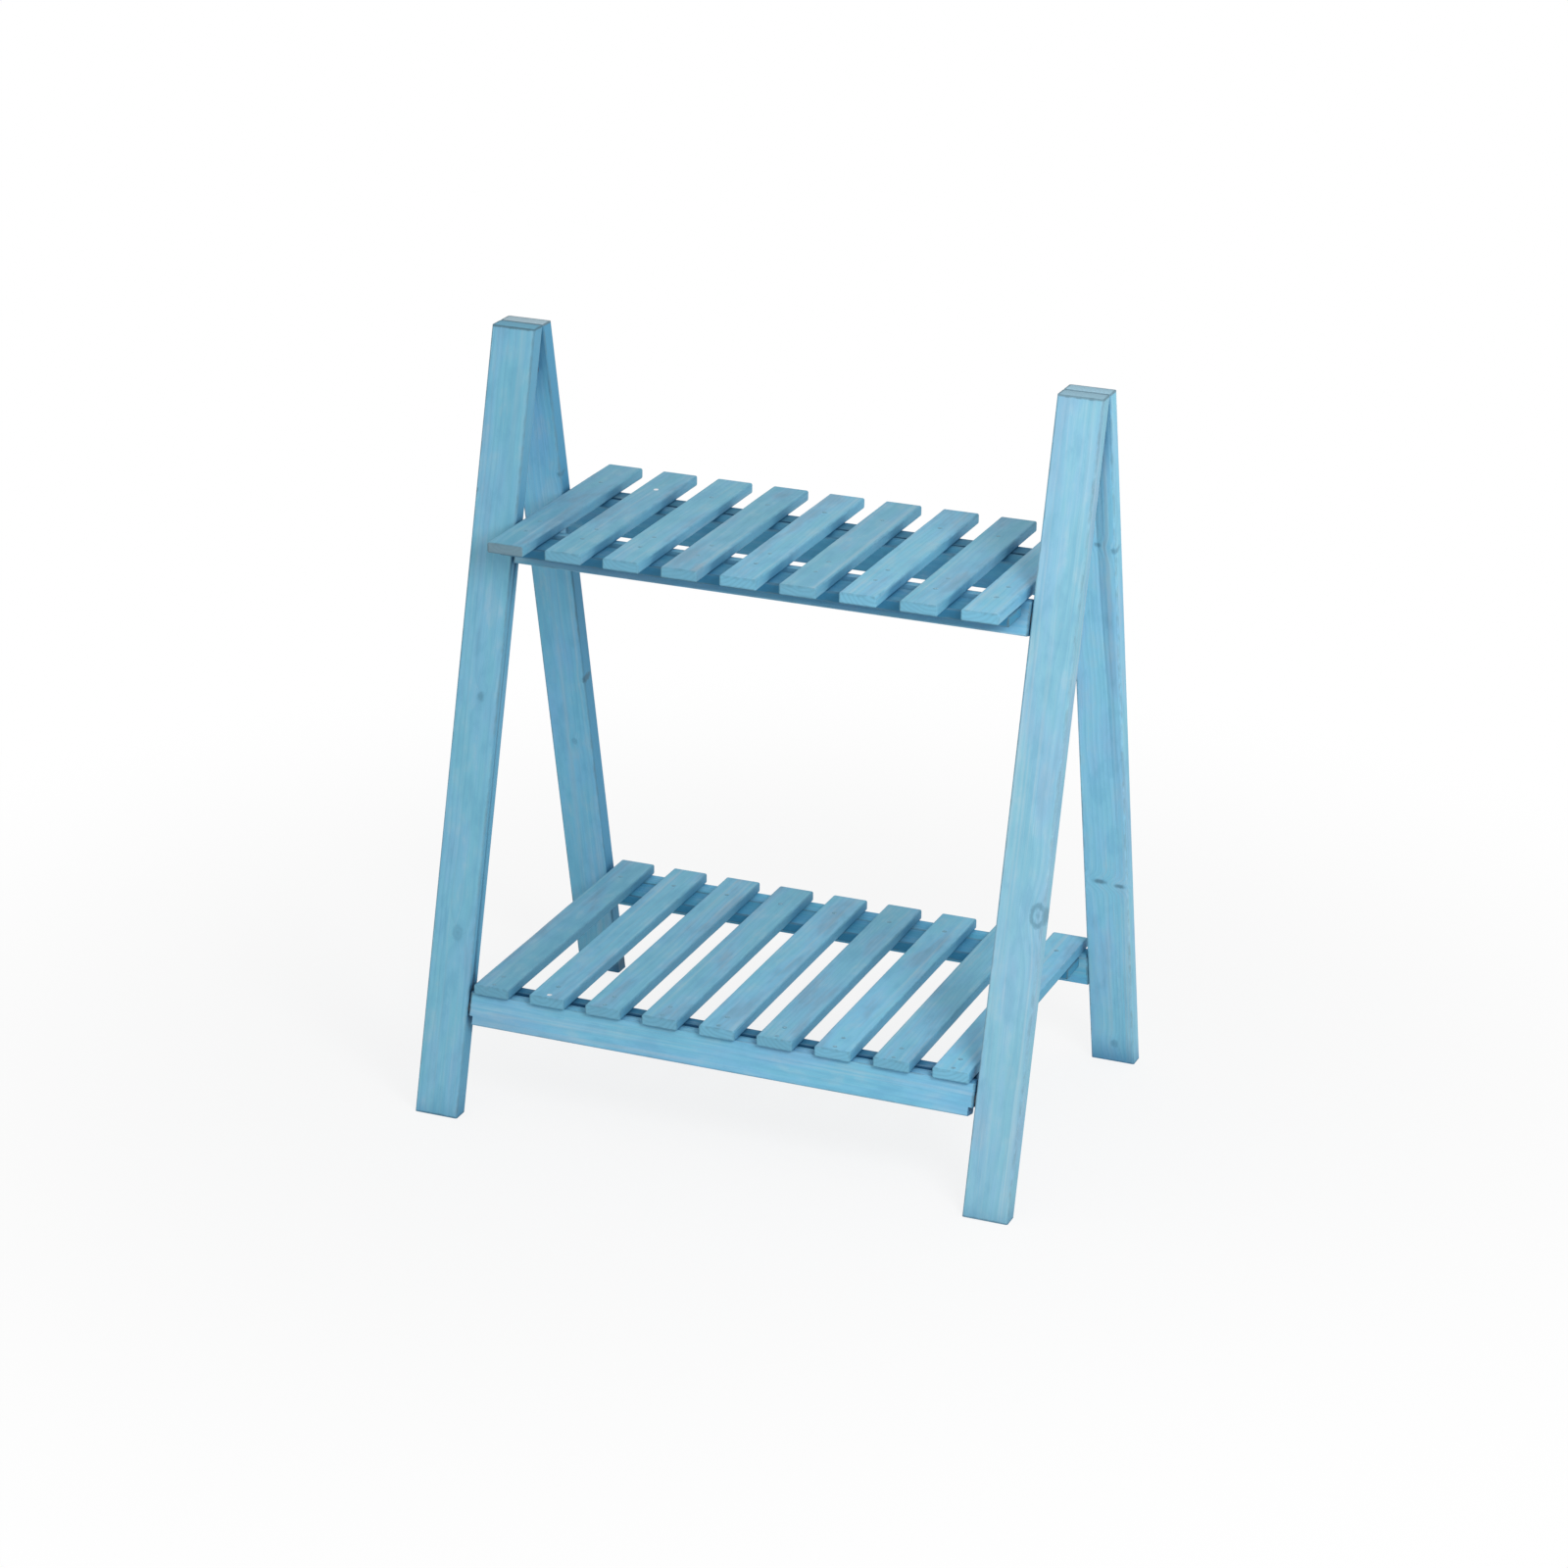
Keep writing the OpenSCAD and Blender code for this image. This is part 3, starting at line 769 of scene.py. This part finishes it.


# %% [markdown]
# ### Legs
#
# The legs are planed pine, 40 by 16 mm, and lean 14 degrees. Their ends are cut level. A leg's
# box in the frame gives its middle, because a leaning board with two level ends is symmetric
# about it. The knots are given in the leg's own coordinates: across, through, along.
# Each also has a radius, how hollow and how flat it is, and how dark.

# %% Leg materials
LEAN = math.radians(14)
LEG_W = 0.040
LEG_T = 0.016
LEG_L = size_of("front_leg_left").z / math.cos(LEAN)
LEG_BLUE = (0.210, 0.505, 0.685)
FACE = -LEG_T / 2
# Some legs have their narrow sides darkened as painted shade.
LEGS = {
    "front_leg_left": {
        "tone": 1.02, "dry": 0.22, "deep_sides": 0.65,
        "knots": [
            ((0.0034, FACE, 0.0239), 0.0036, 0.0, 0.7, 0.3),
            ((0.0037, FACE, -0.183), 0.0046, 0.3, 0.7, 0.25),
            ((-0.0198, FACE, 0.200), 0.0022, 0.0, 0.8, 0.5)]},
    "front_leg_right": {
        "tone": 1.04, "dry": 0.35, "end_pale": 0.35, "dark_rim": 0.8, "colour": (0.245, 0.500, 0.650),
        "knots": [((0.0150, FACE, -0.0845), 0.0062, 0.8, 0.65, 0.4)]},
    "rear_leg_left": {
        "tone": 1.06, "dry": 0.28, "end_pale": 0.9, "worn": 0.02, "deep_sides": 1.0,
        "colour": (0.197, 0.515, 0.725),
        "knots": [
            ((0.0026, FACE, -0.083), 0.0026, 0.3, 0.8, 0.3),
            ((0.0200, -0.0045, -0.0140), 0.0030, 0.0, 0.6, 0.7),
            ((0.0195, FACE, 0.198), 0.0032, 0.0, 0.9, 0.5),
            # A large dark patch on the narrow inner side at the foot, drawn with the knot group; it is no
            # knot.
            ((0.0205, 0.0, -0.338), 0.0110, 0.0, 1.0, 1.0)]},
    "rear_leg_right": {
        "tone": 1.22, "dry": 0.40, "end_pale": 0.5, "worn": 0.12, "dark_rim": 0.8,
        "colour": (0.225, 0.500, 0.665),
        "knots": [
            ((0.0041, FACE, 0.201), 0.0036, 0.0, 1.3, 0.4),
            ((0.0185, FACE, 0.1966), 0.0034, 0.0, 1.0, 0.4),
            ((-0.0055, FACE, -0.1440), 0.0072, 0.0, 2.5, 0.6),
            ((0.0125, FACE, -0.1460), 0.0056, 0.0, 2.3, 0.6),
            ((0.0022, FACE, -0.3213), 0.0034, 0.2, 0.8, 0.4)]},
}
LEG_HALF = (LEG_W / 2, LEG_T / 2, LEG_L / 2)
LEG_SEED, LEG_SEED_STEP = 3.1, 5.7
for index, (name, finish) in enumerate(LEGS.items()):
    lean = LEAN if name.startswith("rear") else -LEAN
    colour = finish.pop("colour", LEG_BLUE)
    material = board_material(
        "wash_" + name, middle_of(name), (lean, 0.0, 0.0), LEG_HALF, colour,
        LEG_SEED + index * LEG_SEED_STEP, end_slope=math.tan(lean), **finish)
    eased_board(name, material)
print("legs painted:", len(LEGS), "length, mm:", round(LEG_L * 1000, 1))

# %% [markdown]
# ### Rails, beams and battens
#
# These run along X. Another turn about Y lays the grain along them, so the same material
# function serves. Rails and beams lean with the legs. The battens under the slats lie level, in
# their shade. Their blue is darkened, and their edges more than their tops, as painted shade.
# What lies deep under a shelf gets a darker blue and darker corners, as painted shade, than what
# the light still reaches.

# %% Rail materials
QUARTER = math.pi / 2


def along_x(lean):
    """The turn that lays a board's length along X and then leans it."""
    return (Matrix.Rotation(lean, 3, "X") @ Matrix.Rotation(QUARTER, 3, "Y")).to_euler("XYZ")


RAIL_H = 0.030
RAIL_BLUE = (0.205, 0.520, 0.730)
# Under the upper shelf the rear rail's blue is darkened as painted shade. The lower rear rail gets less
# painted shade in its corners.
SHADED_RAIL_BLUE = (0.100, 0.340, 0.520)
LOW_RAIL_BLUE = (0.155, 0.520, 0.750)
RAILS = {
    "upper_front_beam": (RAIL_BLUE, 0.38, CORNER_SHADE_DEPTH),
    "lower_front_beam": (RAIL_BLUE, 0.38, CORNER_SHADE_DEPTH),
    "rear_rail_upper": (SHADED_RAIL_BLUE, 0.10, CORNER_SHADE_DEPTH),
    "rear_rail_lower": (LOW_RAIL_BLUE, 0.20, 0.15),
}
RAIL_SEED, RAIL_SEED_STEP = 31.3, 4.9
for index, (name, (colour, dry, corner_depth)) in enumerate(RAILS.items()):
    turn = along_x(LEAN if name.startswith("rear") else -LEAN)
    half = (RAIL_H / 2, LEG_T / 2, size_of(name).x / 2)
    material = board_material(
        "wash_" + name, middle_of(name), turn, half, colour, RAIL_SEED + index * RAIL_SEED_STEP,
        dry=dry, corner_depth=corner_depth)
    eased_board(name, material)
print("rails and beams painted:", len(RAILS))

# %% Batten materials
# Painted shade: the battens' blues are darkened under the slats, and a flat batten's edges more.
BATTENS = {
    "upper_front_batten": ((0.078, 0.310, 0.490), CORNER_SHADE_DEPTH),
    "upper_rear_batten": ((0.075, 0.270, 0.410), CORNER_SHADE_DEPTH),
    "lower_edge_batten": ((0.045, 0.200, 0.340), CORNER_SHADE_DEPTH),
    "lower_rear_batten": ((0.085, 0.360, 0.560), 0.40),
}
BATTEN_SEED, BATTEN_SEED_STEP, BATTEN_DRY = 51.7, 3.3, 0.04
for index, (name, (colour, corner_depth)) in enumerate(BATTENS.items()):
    size = size_of(name)
    flat = size.y > size.z
    turn = along_x(QUARTER if flat else 0.0)
    half = (max(size.y, size.z) / 2, min(size.y, size.z) / 2, size.x / 2)
    material = board_material(
        "wash_" + name, middle_of(name), turn, half, colour, BATTEN_SEED + index * BATTEN_SEED_STEP,
        dry=BATTEN_DRY, deep_sides=1.0 if flat else 0.0, worn=0.0, corner_depth=corner_depth)
    eased_board(name, material)
print("battens painted:", len(BATTENS))

# %% [markdown]
# ## Slats
#
# Each shelf has nine slats of the same size in an even row. Nine copies could be made by a loop
# or an Array modifier, but Geometry Nodes can also give every slat its own number. The tree sets
# one slat on each point of a line, stores the slat's middle and its seed, and makes the copies
# real. The material takes the middle away from the object coordinates, so each slat gets its own
# grain from one material. Sawn wood isn't quite straight, so noise moves the faces by a fraction
# of a millimetre, but not the undersides, which rest on the rails.

# %% Geometry helpers
BEVEL_SEGMENTS = 3


def new_geometry_tree(name, inputs):
    """A Geometry Nodes tree with a geometry input and output; inputs are (name, type)."""
    return new_group(name, [("Geometry", "g"), *inputs], [("Geometry", "g")], "GeometryNodeTree")


def stored(tree, instances, label, value, data_type="FLOAT"):
    """Stores a value on each instance. Every point of the real copy then has it."""
    return node_with(
        tree, "GeometryNodeStoreNamedAttribute", {"Geometry": instances, "Value": value},
        data_type=data_type, domain="INSTANCE", Name=label)


def made_real(tree, instances):
    """Realize Instances, because the finished piece may hold no instances."""
    return node_with(tree, "GeometryNodeRealizeInstances", {"Geometry": instances})


def painted(tree, geometry, material):
    """Set Material, which ends every tree here."""
    return node_with(tree, "GeometryNodeSetMaterial", {"Geometry": geometry, "Material": material})


def grown_piece(name, tree, values, bevel=0.0):
    """Runs a tree on an object and turns the result into a plain mesh piece at the origin."""
    holder = placed(name + "_holder", bpy.data.meshes.new(name + "_start"))
    modifier = holder.modifiers.new("grow", "NODES")
    modifier.node_group = tree
    for item in tree.interface.items_tree:
        if item.in_out == "INPUT" and item.name in values:
            modifier[item.identifier] = values[item.name]
    if bevel:
        rounding = holder.modifiers.new("ease", "BEVEL")
        rounding.width = bevel
        rounding.segments = BEVEL_SEGMENTS
        rounding.limit_method = "ANGLE"
        rounding.angle_limit = SHARP_ANGLE
        rounding.harden_normals = True
    depsgraph = bpy.context.evaluated_depsgraph_get()
    result = bpy.data.meshes.new_from_object(holder.evaluated_get(depsgraph), depsgraph=depsgraph)
    bpy.data.objects.remove(holder)
    result.name = name
    return placed(name, result)


print("geometry helpers: new_geometry_tree, stored, made_real, painted, grown_piece")

# %% Slat tree
SEED_STEP = 2.37
WAVE_SCALE = 14.0


def build_slat_tree():
    """A row of equal slats along X that carry their middle, their seed and a bare end."""
    tree, given, out = new_geometry_tree("slat_row", [
        ("Count", "i"), ("Pitch", "f"), ("Size", "v"), ("Middle", "v"), ("Seed", "f"),
        ("Unevenness", "f"), ("Bare End", "f"), ("Material", "m")])
    slat = node_with(
        tree, "GeometryNodeMeshCube", {"Size": given["Size"]}, Vertices_X=4, Vertices_Y=28, Vertices_Z=2)
    smooth = node_with(tree, "GeometryNodeSetShadeSmooth", {"Geometry": slat})
    gaps = calc(tree, "SUBTRACT", given["Count"], 1.0)
    reach = calc(tree, "MULTIPLY", gaps, scaled(tree, given["Pitch"], -0.5))
    start = vector_calc(tree, "ADD", given["Middle"], join(tree, reach, 0.0, 0.0))
    step = join(tree, given["Pitch"], 0.0, 0.0)
    line = node_with(
        tree, "GeometryNodeMeshLine", {"Count": given["Count"], "Start Location": start, "Offset": step})
    row = node_with(
        tree, "GeometryNodeInstanceOnPoints", {"Points": line, "Instance": smooth})
    place = tree.nodes.new("GeometryNodeInputPosition").outputs[0]
    index = tree.nodes.new("GeometryNodeInputIndex").outputs[0]
    seed = calc(tree, "ADD", scaled(tree, index, SEED_STEP), given["Seed"])
    apart = calc(tree, "ABSOLUTE", calc(tree, "SUBTRACT", index, given["Bare End"]))
    marked = stored(tree, row, "slat_middle", place, "FLOAT_VECTOR")
    marked = stored(tree, marked, "slat_seed", seed)
    marked = stored(tree, marked, "slat_bare_end", calc(tree, "LESS_THAN", apart, 0.5))
    wave = add(tree, "ShaderNodeTexNoise", Scale=WAVE_SCALE, Detail=2.0)
    tree.links.new(place, wave.inputs["Vector"])
    sway = vector_calc(tree, "SUBTRACT", wave.outputs["Color"], (0.5, 0.5, 0.5))
    sway = vector_calc(tree, "MULTIPLY", sway, join(tree, given["Unevenness"], given["Unevenness"], 0.0))
    uneven = node_with(
        tree, "GeometryNodeSetPosition", {"Geometry": made_real(tree, marked), "Offset": sway})
    tree.links.new(painted(tree, uneven, given["Material"]), out["Geometry"])
    return tree


SLAT_TREE = build_slat_tree()
print("slat tree:", len(SLAT_TREE.nodes), "nodes")

# %% Slat material
SLAT_BLUE = (0.205, 0.495, 0.670)
SLAT_EDGE = (0.110, 0.270, 0.370)
TONE_RATE, TONE_SWING = 3.81, 0.07
# How much brighter the slats get towards the right, as painted light.
RIGHTWARD_PAINTED_LIGHT = 0.30
END_BROWN = 0.55


def slat_material(name, half, brightness, side_shade_depth, corner_depth):
    """Wood whose coordinates, seed and tone come from each slat's stored numbers."""
    material = bpy.data.materials.new(name)
    tree = new_tree(material)
    coords = tree.nodes.new("ShaderNodeTexCoord").outputs["Object"]
    middle = add(tree, "ShaderNodeAttribute", attribute_name="slat_middle").outputs["Vector"]
    seed = add(tree, "ShaderNodeAttribute", attribute_name="slat_seed").outputs["Fac"]
    bare = add(tree, "ShaderNodeAttribute", attribute_name="slat_bare_end").outputs["Fac"]
    x, y, z = split(tree, vector_calc(tree, "SUBTRACT", coords, middle))
    along = join(tree, x, scaled(tree, z, -1.0), y)
    own_tone = scaled(tree, calc(tree, "SINE", scaled(tree, seed, TONE_RATE)), TONE_SWING)
    # Painted light: slats further to the right are brighter, as if nearer the lamp.
    painted_light_tone = scaled(tree, split(tree, middle)[0], RIGHTWARD_PAINTED_LIGHT)
    tone = calc(tree, "ADD", calc(tree, "ADD", own_tone, painted_light_tone), brightness)
    wood_shader(
        tree, along, half, SLAT_BLUE, seed, tone=tone, dry=0.34, brown_end=scaled(tree, bare, END_BROWN),
        edge_tint=SLAT_EDGE, deep_sides=side_shade_depth, worn=0.22, dark_rim=0.42, corner_depth=corner_depth)
    return material


print("slat blue:", SLAT_BLUE, "edges:", SLAT_EDGE)

# %% Make the slats
SLAT_EASE = 0.0018
UNEVENNESS = 0.0009
NO_SLAT = -1.0
# The side and corner depths say how dark each shelf's painted shade is.
SHELVES = {
    "upper": {
        "seed": 131.2, "bare_end": 0.0, "brightness": 1.02, "side_shade_depth": 0.35, "corner_depth": 0.80},
    # The lower seed gives the eighth slat, which the right leg shades, the darkest own tone: there the
    # tone is partly painted shadow.
    "lower": {
        "seed": 9.3, "bare_end": NO_SLAT, "brightness": 1.06, "side_shade_depth": 0.75, "corner_depth": 0.40},
}


def slats_of(shelf, seed, bare_end, **shades):
    """One mesh with all the slats of a shelf, sized and placed from the frame's own slats."""
    names = [name for name in nodes if name.startswith(shelf + "_slat_")]
    middles = sorted(middle_of(name).x for name in names)
    size = size_of(names[0])
    middle = sum((middle_of(name) for name in names), Vector()) / len(names)
    half = (size.x / 2, size.z / 2, size.y / 2)
    values = {
        "Count": len(names), "Pitch": (middles[-1] - middles[0]) / (len(names) - 1), "Size": size,
        "Middle": middle, "Seed": seed, "Unevenness": UNEVENNESS, "Bare End": bare_end,
        "Material": slat_material("wash_" + shelf + "_slats", half, **shades)}
    piece = grown_piece(shelf + "_slats", SLAT_TREE, values, bevel=SLAT_EASE)
    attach(piece, shelf + "_shelf")
    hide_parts(*names)
    print(piece.name, len(names), "slats,", len(piece.data.polygons), "faces")


for shelf, look in SHELVES.items():
    slats_of(shelf, **look)

# %% [markdown]
# ## Nails
#
# Every slat is held by three wire nails. They were driven before the wash, so their heads are
# painted over, apart from one on each shelf that rubbed bright. The tree lays three lines of
# points, one for each row, and stands a nail on each: a low dome and a shank. A nail
# never goes in quite straight, so each is tilted and sunk by a small random amount.

# %% Find the nails
HEAD_LEVEL = 0.0001
SAME_ROW = 0.004


def nail_grid(node_name):
    """The columns and rows of a frame node's nails, from the tops of their heads."""
    mesh = nodes[node_name].data
    top = max(v.co.z for v in mesh.vertices)
    heads = [v.co for v in mesh.vertices if v.co.z > top - HEAD_LEVEL]

    def middles(values):
        """Groups values that lie close together and gives each group's middle."""
        groups = []
        for value in sorted(values):
            if groups and value - groups[-1][-1] < SAME_ROW:
                groups[-1].append(value)
            else:
                groups.append([value])
        return [(group[0] + group[-1]) / 2 for group in groups]

    return middles(v.x for v in heads), middles(v.y for v in heads), top


print("rows of nails, upper and lower:", [
    len(nail_grid(name + "_shelf_nails")[1]) for name in SHELVES])

# %% Nail tree
NAIL_HEAD = 0.0023
NAIL_SHANK = 0.0010
NAIL_LENGTH = 0.017
FLATNESS = 0.16
TILT = 0.06
DEEPEST, PROUDEST = -0.00022, 0.00002


def build_nail_tree():
    """Three rows of nails, each tilted and sunk a little, and one of them marked as bare."""
    tree, given, out = new_geometry_tree("nail_rows", [
        ("Count", "i"), ("Pitch", "f"), ("Start", "f"), ("Rows", "v"), ("Top", "f"), ("Bare Place", "v"),
        ("Seed", "i"), ("Material", "m")])
    head = add(tree, "GeometryNodeMeshUVSphere", Segments=18, Rings=8, Radius=NAIL_HEAD)
    dome = node_with(
        tree, "GeometryNodeTransform", {"Geometry": head.outputs[0]}, Scale=(1.0, 1.0, FLATNESS))
    shank = add(tree, "GeometryNodeMeshCylinder", Vertices=12, Radius=NAIL_SHANK, Depth=NAIL_LENGTH)
    low = node_with(
        tree, "GeometryNodeTransform", {"Geometry": shank.outputs[0]},
        Translation=(0.0, 0.0, -NAIL_LENGTH / 2))
    nail = tree.nodes.new("GeometryNodeJoinGeometry")
    for part in (dome, low):
        tree.links.new(part, nail.inputs[0])
    smooth = node_with(tree, "GeometryNodeSetShadeSmooth", {"Geometry": nail.outputs[0]})
    points = tree.nodes.new("GeometryNodeJoinGeometry")
    step = join(tree, given["Pitch"], 0.0, 0.0)
    for row in split(tree, given["Rows"]):
        start = join(tree, given["Start"], row, given["Top"])
        line = node_with(
            tree, "GeometryNodeMeshLine",
            {"Count": given["Count"], "Start Location": start, "Offset": step})
        tree.links.new(line, points.inputs[0])
    tilt = add(tree, "FunctionNodeRandomValue", data_type="FLOAT_VECTOR")
    tilt.inputs[0].default_value = (-TILT, -TILT, 0.0)
    tilt.inputs[1].default_value = (TILT, TILT, math.tau)
    depth = add(tree, "FunctionNodeRandomValue", data_type="FLOAT")
    depth.inputs[2].default_value = DEEPEST
    depth.inputs[3].default_value = PROUDEST
    for random in (tilt, depth):
        tree.links.new(given["Seed"], random.inputs["Seed"])
    rows = node_with(
        tree, "GeometryNodeInstanceOnPoints",
        {"Points": points.outputs[0], "Instance": smooth, "Rotation": tilt.outputs[0]})
    sunk = node_with(
        tree, "GeometryNodeTranslateInstances",
        {"Instances": rows, "Translation": join(tree, 0.0, 0.0, depth.outputs[1])})
    place = tree.nodes.new("GeometryNodeInputPosition").outputs[0]
    apart = vector_calc(tree, "LENGTH", vector_calc(tree, "SUBTRACT", place, given["Bare Place"]))
    marked = stored(tree, sunk, "bare", calc(tree, "LESS_THAN", apart, NAIL_HEAD))
    tree.links.new(painted(tree, made_real(tree, marked), given["Material"]), out["Geometry"])
    return tree


NAIL_TREE = build_nail_tree()
print("nail tree:", len(NAIL_TREE.nodes), "nodes")

# %% Nail material
NAIL_DARK = (0.115, 0.300, 0.410)
NAIL_LIGHT = (0.170, 0.400, 0.530)
BARE_STEEL = (0.78, 0.80, 0.82)
SPOT_NOISE = (900.0, 2.0)
CHIPS = (0.62, 0.70, 0.0, 0.5)
WASH_SPOTS = (0.3, 0.7)
METAL_SHARE = 0.8
ROUGH_PAINT, ROUGH_STEEL = 0.55, 0.34


def nail_material():
    """Wash over a steel head, or bright steel where the stored number says bare."""
    material = bpy.data.materials.new("nail_heads")
    tree = new_tree(material)
    coords = tree.nodes.new("ShaderNodeTexCoord").outputs["Object"]
    bare = add(tree, "ShaderNodeAttribute", attribute_name="bare").outputs["Fac"]
    spots = noise(tree, coords, *SPOT_NOISE)
    chipped = ease(tree, spots, *CHIPS)
    metal = calc(tree, "MAXIMUM", bare, chipped)
    washed = blend_colour(tree, ease(tree, spots, *WASH_SPOTS), NAIL_DARK, NAIL_LIGHT)
    colour = blend_colour(tree, metal, washed, BARE_STEEL)
    principled(tree, {
        "Base Color": colour, "Metallic": scaled(tree, metal, METAL_SHARE),
        "Roughness": ease(tree, metal, 0.0, 1.0, ROUGH_PAINT, ROUGH_STEEL)})
    return material


NAIL_WASH = nail_material()
print("nail material:", NAIL_WASH.name)

# %% Make the nails
NAILS = {"upper": (5, 1, 2), "lower": (11, 1, 0)}


def nails_of(shelf, seed, column, row):
    """One mesh with all the nails of a shelf. The nail at that column and row is bare."""
    node_name = shelf + "_shelf_nails"
    columns, rows, top = nail_grid(node_name)
    bare = Vector((columns[column], rows[row], top))
    values = {
        "Count": len(columns), "Pitch": columns[1] - columns[0], "Start": columns[0],
        "Rows": Vector(rows), "Top": top, "Bare Place": bare, "Seed": seed, "Material": NAIL_WASH}
    piece = grown_piece(shelf + "_nails", NAIL_TREE, values)
    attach(piece, shelf + "_shelf")
    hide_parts(node_name)
    print(piece.name, len(columns) * len(rows), "nails in rows at", [round(r * 1000, 1) for r in rows])


for shelf, (seed, column, row) in NAILS.items():
    nails_of(shelf, seed, column, row)

# %% [markdown]
# ## Hinges, pins and washers
#
# The hinges are small steel butt hinges between the legs, zinc plated and a little dull. Zinc has
# a fine spangle, so one noise drives its tint, its roughness and a very shallow bump together.

# %% Metal
SPANGLE_NOISE = (380.0, 4.0, 0.6)
SPANGLE_DARK = 0.72
SPANGLE_TINTS, SPANGLE_ROUGH = (0.35, 0.75), (0.3, 0.7)
SMOOTHER, ROUGHER = 0.08, 0.12


def zinc(name, colour, roughness):
    """Zinc plating, of which a noise varies the tint, the roughness and the surface."""
    material = bpy.data.materials.new(name)
    tree = new_tree(material)
    coords = tree.nodes.new("ShaderNodeTexCoord").outputs["Object"]
    spangle = noise(tree, coords, *SPANGLE_NOISE)
    darker = tuple(value * SPANGLE_DARK for value in colour)
    tint = blend_colour(tree, ease(tree, spangle, *SPANGLE_TINTS), colour, darker)
    rough = ease(tree, spangle, *SPANGLE_ROUGH, roughness - SMOOTHER, roughness + ROUGHER)
    bump = node_with(tree, "ShaderNodeBump", {"Height": spangle}, Strength=0.25, Distance=0.0001)
    principled(
        tree, {"Base Color": tint, "Roughness": rough, "Normal": bump}, Metallic=1.0)
    return material


PLATE = zinc("zinc_plate", (0.50, 0.52, 0.55), 0.42)
# The spacers are made almost black, far darker than zinc, as painted shade in the gaps beside the legs.
SHADE_DARK_WASHER = zinc("shade_dark_washer", (0.07, 0.09, 0.11), 0.60)
BRIGHT = zinc("bright_wire", (0.66, 0.68, 0.70), 0.30)
for name in nodes:
    if name.startswith(("hinge_leaf", "hinge_pin")):
        paint(name, PLATE)
    elif name.endswith("spacers"):
        paint(name, SHADE_DARK_WASHER)
    elif name.startswith("hinge_screws") or name.endswith("pivot_pins"):
        paint(name, BRIGHT)
print("metals:", PLATE.name, SHADE_DARK_WASHER.name, BRIGHT.name)

# %% [markdown]
# ## Dowels
#
# The dowels that hold the rear rails are hidden in their joints. They are bare beech, and the
# same board material serves them with a pale brown in place of the blue.

# %% Dowel material
BEECH = (0.55, 0.38, 0.20)
BEECH_SEED = 12.5
DOWEL_HALF = 0.012
dowel_half = (DOWEL_HALF, DOWEL_HALF, size_of("rail_dowels").x / 2)
BEECH_WOOD = board_material(
    "beech", middle_of("rail_dowels"), along_x(0.0), dowel_half, BEECH, BEECH_SEED)
paint("rail_dowels", BEECH_WOOD)
print("dowels:", BEECH_WOOD.name)
